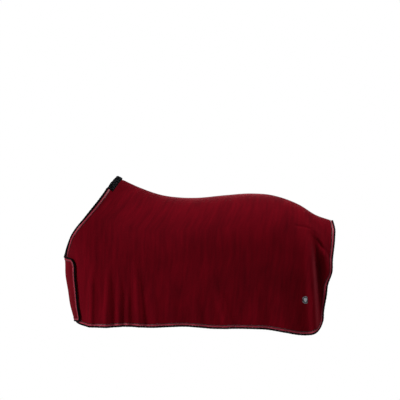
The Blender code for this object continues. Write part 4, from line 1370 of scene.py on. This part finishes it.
first_column = int(np.argmax(SIDE_PLACES[:, 0, 0] > WITHERS_X + SEAM_START))
last_column = int(np.argmax(SIDE_PLACES[:, 0, 0] > TAIL_X - BINDING_WIDTH))
spine_paths = {s: frames(SIDE[s], s, SIDE_Q[first_column:last_column, 0], s, TAPE_HALF)
               for s in SIDE_WORD}
steps = min(len(p[2]) for p in spine_paths.values())
spine_middle = (spine_paths[-1][0][0][:steps] + spine_paths[1][0][0][:steps]) / 2
spine_out = unit(spine_paths[-1][1][0][:steps] + spine_paths[1][1][0][:steps])
print("seam", round(float(length_along(spine_middle)[-1]), 2), "m")

# %% Seam ridge
RIDGE_HALF = 0.0050
RIDGE_HEIGHT = 0.0014
RIDGE_FOOT = 0.0005  # how deep its two feet stand in the nap
RIDGE_UNDER = 0.0016  # and its underside
ARCH_POINTS, UNDER_POINTS = 9, 5
SIDEWAYS = np.array([0.0, 1.0, 0.0])


def seam_ridge(middle, out):
    """An arch h(1 - (y / w)^2) over the seam, closed by a flat underside in the cloth."""
    y = np.linspace(-RIDGE_HALF, RIDGE_HALF, ARCH_POINTS)
    foot = CLOTH_OUTSIDE - RIDGE_FOOT
    arch = foot + (RIDGE_HEIGHT + RIDGE_FOOT) * (1 - (y / RIDGE_HALF) ** 2)
    under = np.full(UNDER_POINTS, CLOTH_OUTSIDE - RIDGE_UNDER)
    across = np.concatenate([y, np.linspace(RIDGE_HALF, -RIDGE_HALF, UNDER_POINTS) * 0.9])
    height = np.concatenate([arch, under])
    return (middle[:, None] + SIDEWAYS * across[None, :, None]
            + out[:, None] * height[None, :, None])


ridge = seam_ridge(spine_middle, spine_out)
girth = np.linspace(0, 2 * RIDGE_HALF * 2, ridge.shape[1])  # over the arch and back under it
ridge_chart = np.stack(np.broadcast_arrays(run_lengths(ridge)[:, None], girth[None]), axis=-1)
ridge_faces = [f[::-1] for f in tube_faces(ridge.shape[0], ridge.shape[1])]
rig.ride(add_mesh("spine_seam_ridge", ridge, ridge_faces, fleece, "burgundy_fleece", ridge_chart),
        "root")

# %% Seam stitches
SEAM_ROW = 0.0072  # from the middle of the seam

rows = [(carried(path, [(SEAM_ROW, CLOTH_OUTSIDE)])[:, 0], path[1][1])
        for path in spine_paths.values()]
points, faces = stitches(rows)
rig.ride(add_mesh("spine_stitches", points, faces, thread, "burgundy_fleece"), "root")

# %% Tape over the seam
TAPE_LINES = (0.0, 0.003, 0.006, 0.009, 0.012)  # from the seam outward, on each side

near_tape = carried(spine_paths[-1], [(d, 0.0) for d in TAPE_LINES[::-1]])
off_tape = carried(spine_paths[1], [(d, 0.0) for d in TAPE_LINES[1:]])
tape_grid = np.concatenate([near_tape[:steps], off_tape[:steps]], axis=1)
across = np.linspace(0, SPINE_TAPE_WIDTH, tape_grid.shape[1])
tape_chart = np.stack(np.broadcast_arrays(run_lengths(tape_grid)[:, None], across[None]), axis=-1)
spine_tape = add_mesh("spine_tape", tape_grid, grid_faces(numbered(tape_grid), 1), tape_red,
                      "seam_tape", tape_chart)
thicken(spine_tape, TAPE)
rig.ride(spine_tape, "root")
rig.replaces(spine_tape, "spine_seam_tape")
tape_length = float(run_lengths(tape_grid)[-1])
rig.sheet(spine_tape, flat=(SPINE_TAPE_WIDTH, round(tape_length, 3)), held="laid",
         rests_on=["near_cloth", "off_cloth"])
print("spine tape", round(tape_length, 2), "m")

# %% [markdown]
# ## Withers pad
# Where the neck edge bears on the withers, a strip of deep black plush is folded over it so
# that the edge doesn't rub the mane away. Plush is too deep for a bump alone, so the outline
# is a real padded fold whose surface is raised into curls by a field of crossing waves.

# %% Curls
CURL_SIZE = 0.0130
CURL_HEIGHT = 0.0055
CURL_WAVES = 14
CURL_SHARPNESS = 3.0  # the sum of the waves at which a curl has fallen to nothing
rng = np.random.default_rng(7)
wave_ways = unit(rng.normal(size=(CURL_WAVES, 3)))
wave_phases = rng.uniform(0, 2 * np.pi, CURL_WAVES)
wave_sizes = CURL_SIZE * rng.uniform(0.7, 1.5, CURL_WAVES)


def curls(points):
    """Ridges where the sum of crossing plane waves passes through zero, from 0 to 1."""
    field = sum(np.sin(2 * np.pi * (points @ way) / size + phase)
                for way, size, phase in zip(wave_ways, wave_sizes, wave_phases))
    return 1 - np.clip(np.abs(field) / CURL_SHARPNESS, 0, 1)


print("curls", CURL_SIZE * 1000, "mm apart")

# %% The pad's fold
LEG_POINTS, TURN_POINTS = 15, 13
ROUND_LEAST = 0.05  # what a round end keeps at its tip, squared


def padded_fold(width, thickness, gap):
    """A U round the cloth's edge, as its middle line and the directions across it."""
    radius = CLOTH / 2 + gap + thickness / 2
    leg = np.linspace(width, 0, LEG_POINTS)
    angle = np.linspace(np.pi / 2, -np.pi / 2, TURN_POINTS)[1:-1]
    line = np.concatenate([
        np.stack([leg, np.full(LEG_POINTS, CLOTH_MIDDLE + radius)], axis=1),
        np.stack([-radius * np.cos(angle), CLOTH_MIDDLE + radius * np.sin(angle)], axis=1),
        np.stack([leg[::-1], np.full(LEG_POINTS, CLOTH_MIDDLE - radius)], axis=1)])
    run = unit(np.gradient(line, axis=0))
    return line, np.stack([-run[:, 1], run[:, 0]], axis=1)


def round_off(along, reach):
    """The square root of the share of reach from either end: a round end, never quite shut."""
    return np.sqrt(np.clip(np.minimum(along, along[-1] - along) / reach, ROUND_LEAST, 1))


pad_path = joined([
    frames(SIDE[-1], -1, side_column[PAD_ROW::-1], -1, PAD_WIDTH + INWARD_STEP),
    frames(SIDE[1], 1, side_column[:PAD_ROW + 1], -1, PAD_WIDTH + INWARD_STEP)])
line, across = padded_fold(PAD_WIDTH, PAD_THICKNESS, PAD_GAP)
print("pad", round(float(length_along(pad_path[0][0])[-1]), 3), "m long over the withers")

# %% The pad
PUFF = 0.0010  # that the pile adds to the padding's thickness
PAD_END = 0.007  # length of the rounding at each end
PAD_HEM = 0.004  # and along its two long hems

end_round = round_off(length_along(line), PAD_HEM)
half = (PAD_THICKNESS / 2 * end_round)[:, None]
centre_sign = -1.0 if across[0, 1] < 0 else 1.0
outside = carried(pad_path, line + across * half * centre_sign)
inside = carried(pad_path, line - across * half * centre_sign)
core = (outside + inside) / 2
pad_ends = round_off(run_lengths(core), PAD_END)[:, None, None]
curl = curls(outside)
pile = (CURL_HEIGHT * curl + PUFF)[..., None] * end_round[None, :, None]
outside = core + (outside - core + unit(outside - core) * pile) * pad_ends
inside = core + (inside - core) * pad_ends
loop = np.concatenate([outside, inside[:, ::-1]], axis=1)
count = outside.shape[1]
index = numbered(loop)
walls = tube_faces(*loop.shape[:2])[:-2]  # without the tube's ends, which are closed in strips
caps = [np.stack([e[:count - 1], e[1:count], e[:count - 1:-1][1:], e[:count - 1:-1][:-1]],
                 -1)[:, ::d].tolist() for e, d in ((index[0], -1), (index[-1], 1))]
faces = walls + caps[0] + caps[1]
middle_step = len(core) // 2
normal = np.cross(loop[middle_step, 1] - loop[middle_step, 0],
                  loop[middle_step + 1, 0] - loop[middle_step, 0])
if np.dot(normal, outside[middle_step, 0] - core[middle_step, 0]) < 0:
    faces = [f[::-1] for f in faces]
# The chart's first number is each curl's height, from which the plush colour paints a highlight on the tips and shade
# in the hollows.
curl = np.concatenate([curl, 0 * curl], axis=1)
pad = add_mesh("plush_pad", loop, faces, plush, "black_plush", np.stack([curl, 0 * curl], -1))
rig.ride(pad, "root")
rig.replaces(pad, "withers_pad")
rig.padded(pad, fill=0.7)

# %% [markdown]
# ## Hook-and-loop patches
# Two pairs of patches close the chest: stiff hook tape on the outside of the near flap, and
# soft loop tape on the inside of the off flap. Each is a thin rectangle laid on the round of
# the chest and sewn near its border, so it is a piece of the chest surface moved out.

# %% Patches
PATCH_CELLS = (30, 18)
PATCH_BORDER = 0.004
CHEST_TURN = 0.30  # metres round the chest from u = 0 to 1


def patch_grid(height, outward, inset=0.0):
    """The chest surface between two turns round it and two heights, moved out."""
    u_inset = inset / CHEST_TURN
    u = np.linspace(PATCH_SPAN[0] + u_inset, PATCH_SPAN[1] - u_inset, PATCH_CELLS[0] + 1)
    z = height + (PATCH_HEIGHT - 2 * inset) * np.linspace(0.5, -0.5, PATCH_CELLS[1] + 1)
    q = np.stack(np.meshgrid(u, z, indexing="ij"), axis=-1)
    out = out_of(CHEST[-1], q, -1)
    return CHEST[-1](q) + out * outward, out


def border(grid):
    """The grid's outermost points in order, from its first row round to where it began."""
    return np.concatenate([grid[:, 0], grid[-1, 1:], grid[-2::-1, -1], grid[0, -2:0:-1]])


for word, height in (("upper", UPPER_PATCH_Z * DROP), ("lower", LOWER_PATCH_Z * DROP)):
    for kind, inside, side, face in (("hook", HOOK_INSIDE, -1, 1), ("loop", LOOP_INSIDE, 1, -1)):
        body = BLEND[side][0]
        grid, out = patch_grid(height, inside)
        patch = add_mesh(f"{word}_{kind}_tape", grid, grid_faces(numbered(grid), 1),
                         closure[kind], "hook_and_loop", measured(grid))
        thicken(patch, PATCH_THICKNESS)
        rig.ride(patch, body)
        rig.replaces(patch, f"{word}_{kind}_patch")
        size = [round(float(np.linalg.norm(grid[-1, 0] - grid[0, 0])), 3), PATCH_HEIGHT]
        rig.sheet(patch, flat=size, held="laid", rests_on=[f"{SIDE_WORD[side]}_cloth"])
        shown = inside + (PATCH_THICKNESS if face > 0 else 0)
        rim, rim_out = patch_grid(height, shown, PATCH_BORDER)
        points, faces = stitches([(border(rim), border(rim_out) * face)])
        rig.ride(add_mesh(f"{word}_{kind}_stitches", points, faces, thread, "hook_and_loop"), body)

# %% [markdown]
# ## Badge
# A small round metal plate is riveted to the near side above the rear corner. It is a shallow
# casting with a rolled rim and a plain raised shield, with nothing written on it. The shield
# could be a mesh of its own, but a casting is one skin, so the face is a height over a disc
# whose rings are close enough to carry it. The back is flat.

# %% The badge's relief
PLATE_THICKNESS = 0.0022
DOME_HEIGHT = 0.0030
RIM_HEIGHT, RIM_AT, RIM_WIDTH = 0.0009, 0.91, 0.055  # places and widths are shares of the radius
GROOVE_DEPTH, GROOVE_AT, GROOVE_WIDTH = 0.0003, 0.78, 0.05
SHIELD_HEIGHT, SHIELD_HALF, SHIELD_SLOPE = 0.0008, 0.0105, 0.0014
SHIELD_FOOT, SHIELD_SHOULDER, SHIELD_TOP = -0.0135, 0.0030, 0.0115
PLATE_EDGE = 0.04  # width of the round at its rim, as a share of the radius
RIM_POLISH = 0.45


def plate_height(x, y):
    """A low dome, a rolled rim, a groove inside it, and a shield with eased sides.

    The second result is how much the brush polishes: all of the shield and half of the rim.
    """
    r = np.hypot(x, y) / BADGE_RADIUS
    roll = np.exp(-(((r - RIM_AT) / RIM_WIDTH) ** 2))
    groove = -GROOVE_DEPTH * np.exp(-(((r - GROOVE_AT) / GROOVE_WIDTH) ** 2))
    dome = DOME_HEIGHT * (1 - r**2)
    up = np.clip((y - SHIELD_FOOT) / (SHIELD_SHOULDER - SHIELD_FOOT), 0, 1)
    half = SHIELD_HALF * np.sqrt(up)
    shield = ease((half - np.abs(x)) / SHIELD_SLOPE) * ease((SHIELD_TOP - y) / SHIELD_SLOPE)
    edge = ease((1 - r) / PLATE_EDGE)
    height = (PLATE_THICKNESS * edge + RIM_HEIGHT * roll + groove + dome
              + SHIELD_HEIGHT * shield)
    return height, np.maximum(shield, RIM_POLISH * roll)


print("badge", BADGE_RADIUS * 2000, "mm across")

# %% The badge
BADGE_RINGS, BADGE_SPOKES = 44, 96
BADGE_LIFT = 0.0004  # off the nap

badge_q = root_depth(np.array([BADGE_X * BACK_LENGTH, BADGE_Z * DROP]))
badge_out = out_of(SIDE[-1], badge_q, -1)
badge_up = unit(np.array([0.0, 0.0, 1.0]) - badge_out * badge_out[2])
badge_right = np.cross(badge_up, badge_out)
badge_place = SIDE[-1](badge_q) + badge_out * (CLOTH_OUTSIDE + BADGE_LIFT)
disc_points, disc_faces = disc(BADGE_RADIUS, BADGE_RINGS, BADGE_SPOKES, 0.0)
x, y = disc_points[:, 0], disc_points[:, 1]
face_height, polished = plate_height(x, y)
levels = [face_height, np.zeros_like(x)]
front_face, back_face = (badge_place + badge_right * x[:, None] + badge_up * y[:, None]
                         + badge_out * level[:, None] for level in levels)
last = len(x) - BADGE_SPOKES + np.arange(BADGE_SPOKES)
turned = np.roll(last, -1)
below = len(x)
wall = np.stack([last, last + below, turned + below, turned], -1).tolist()
faces = disc_faces + [[v + below for v in f[::-1]] for f in disc_faces] + wall
badge_chart = np.stack([np.concatenate([polished, 0 * x]), np.zeros(2 * len(x))], axis=1)
badge = add_mesh("badge", np.concatenate([front_face, back_face]), faces, gunmetal,
                 "gunmetal_badge", badge_chart)
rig.ride(badge, "root")
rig.replaces(badge, "badge_plate")

# %% The washer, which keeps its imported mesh
washer = frame["nodes"]["badge_washer"]
washer.data.materials.clear()
washer.data.materials.append(gunmetal)
print("shown pieces", len(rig.pieces()))

# %% [markdown]
# ## Size
# The shown rug is drawn to the size of the imported one, apart from what fabric stands proud.
# Both boxes are written to extents.json.

# %% Size
new_low, new_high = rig.bounds()
with open("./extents.json", "w") as f:
    json.dump({"cad": [list(cad_low), list(cad_high)], "visual": [list(new_low), list(new_high)]}, f)
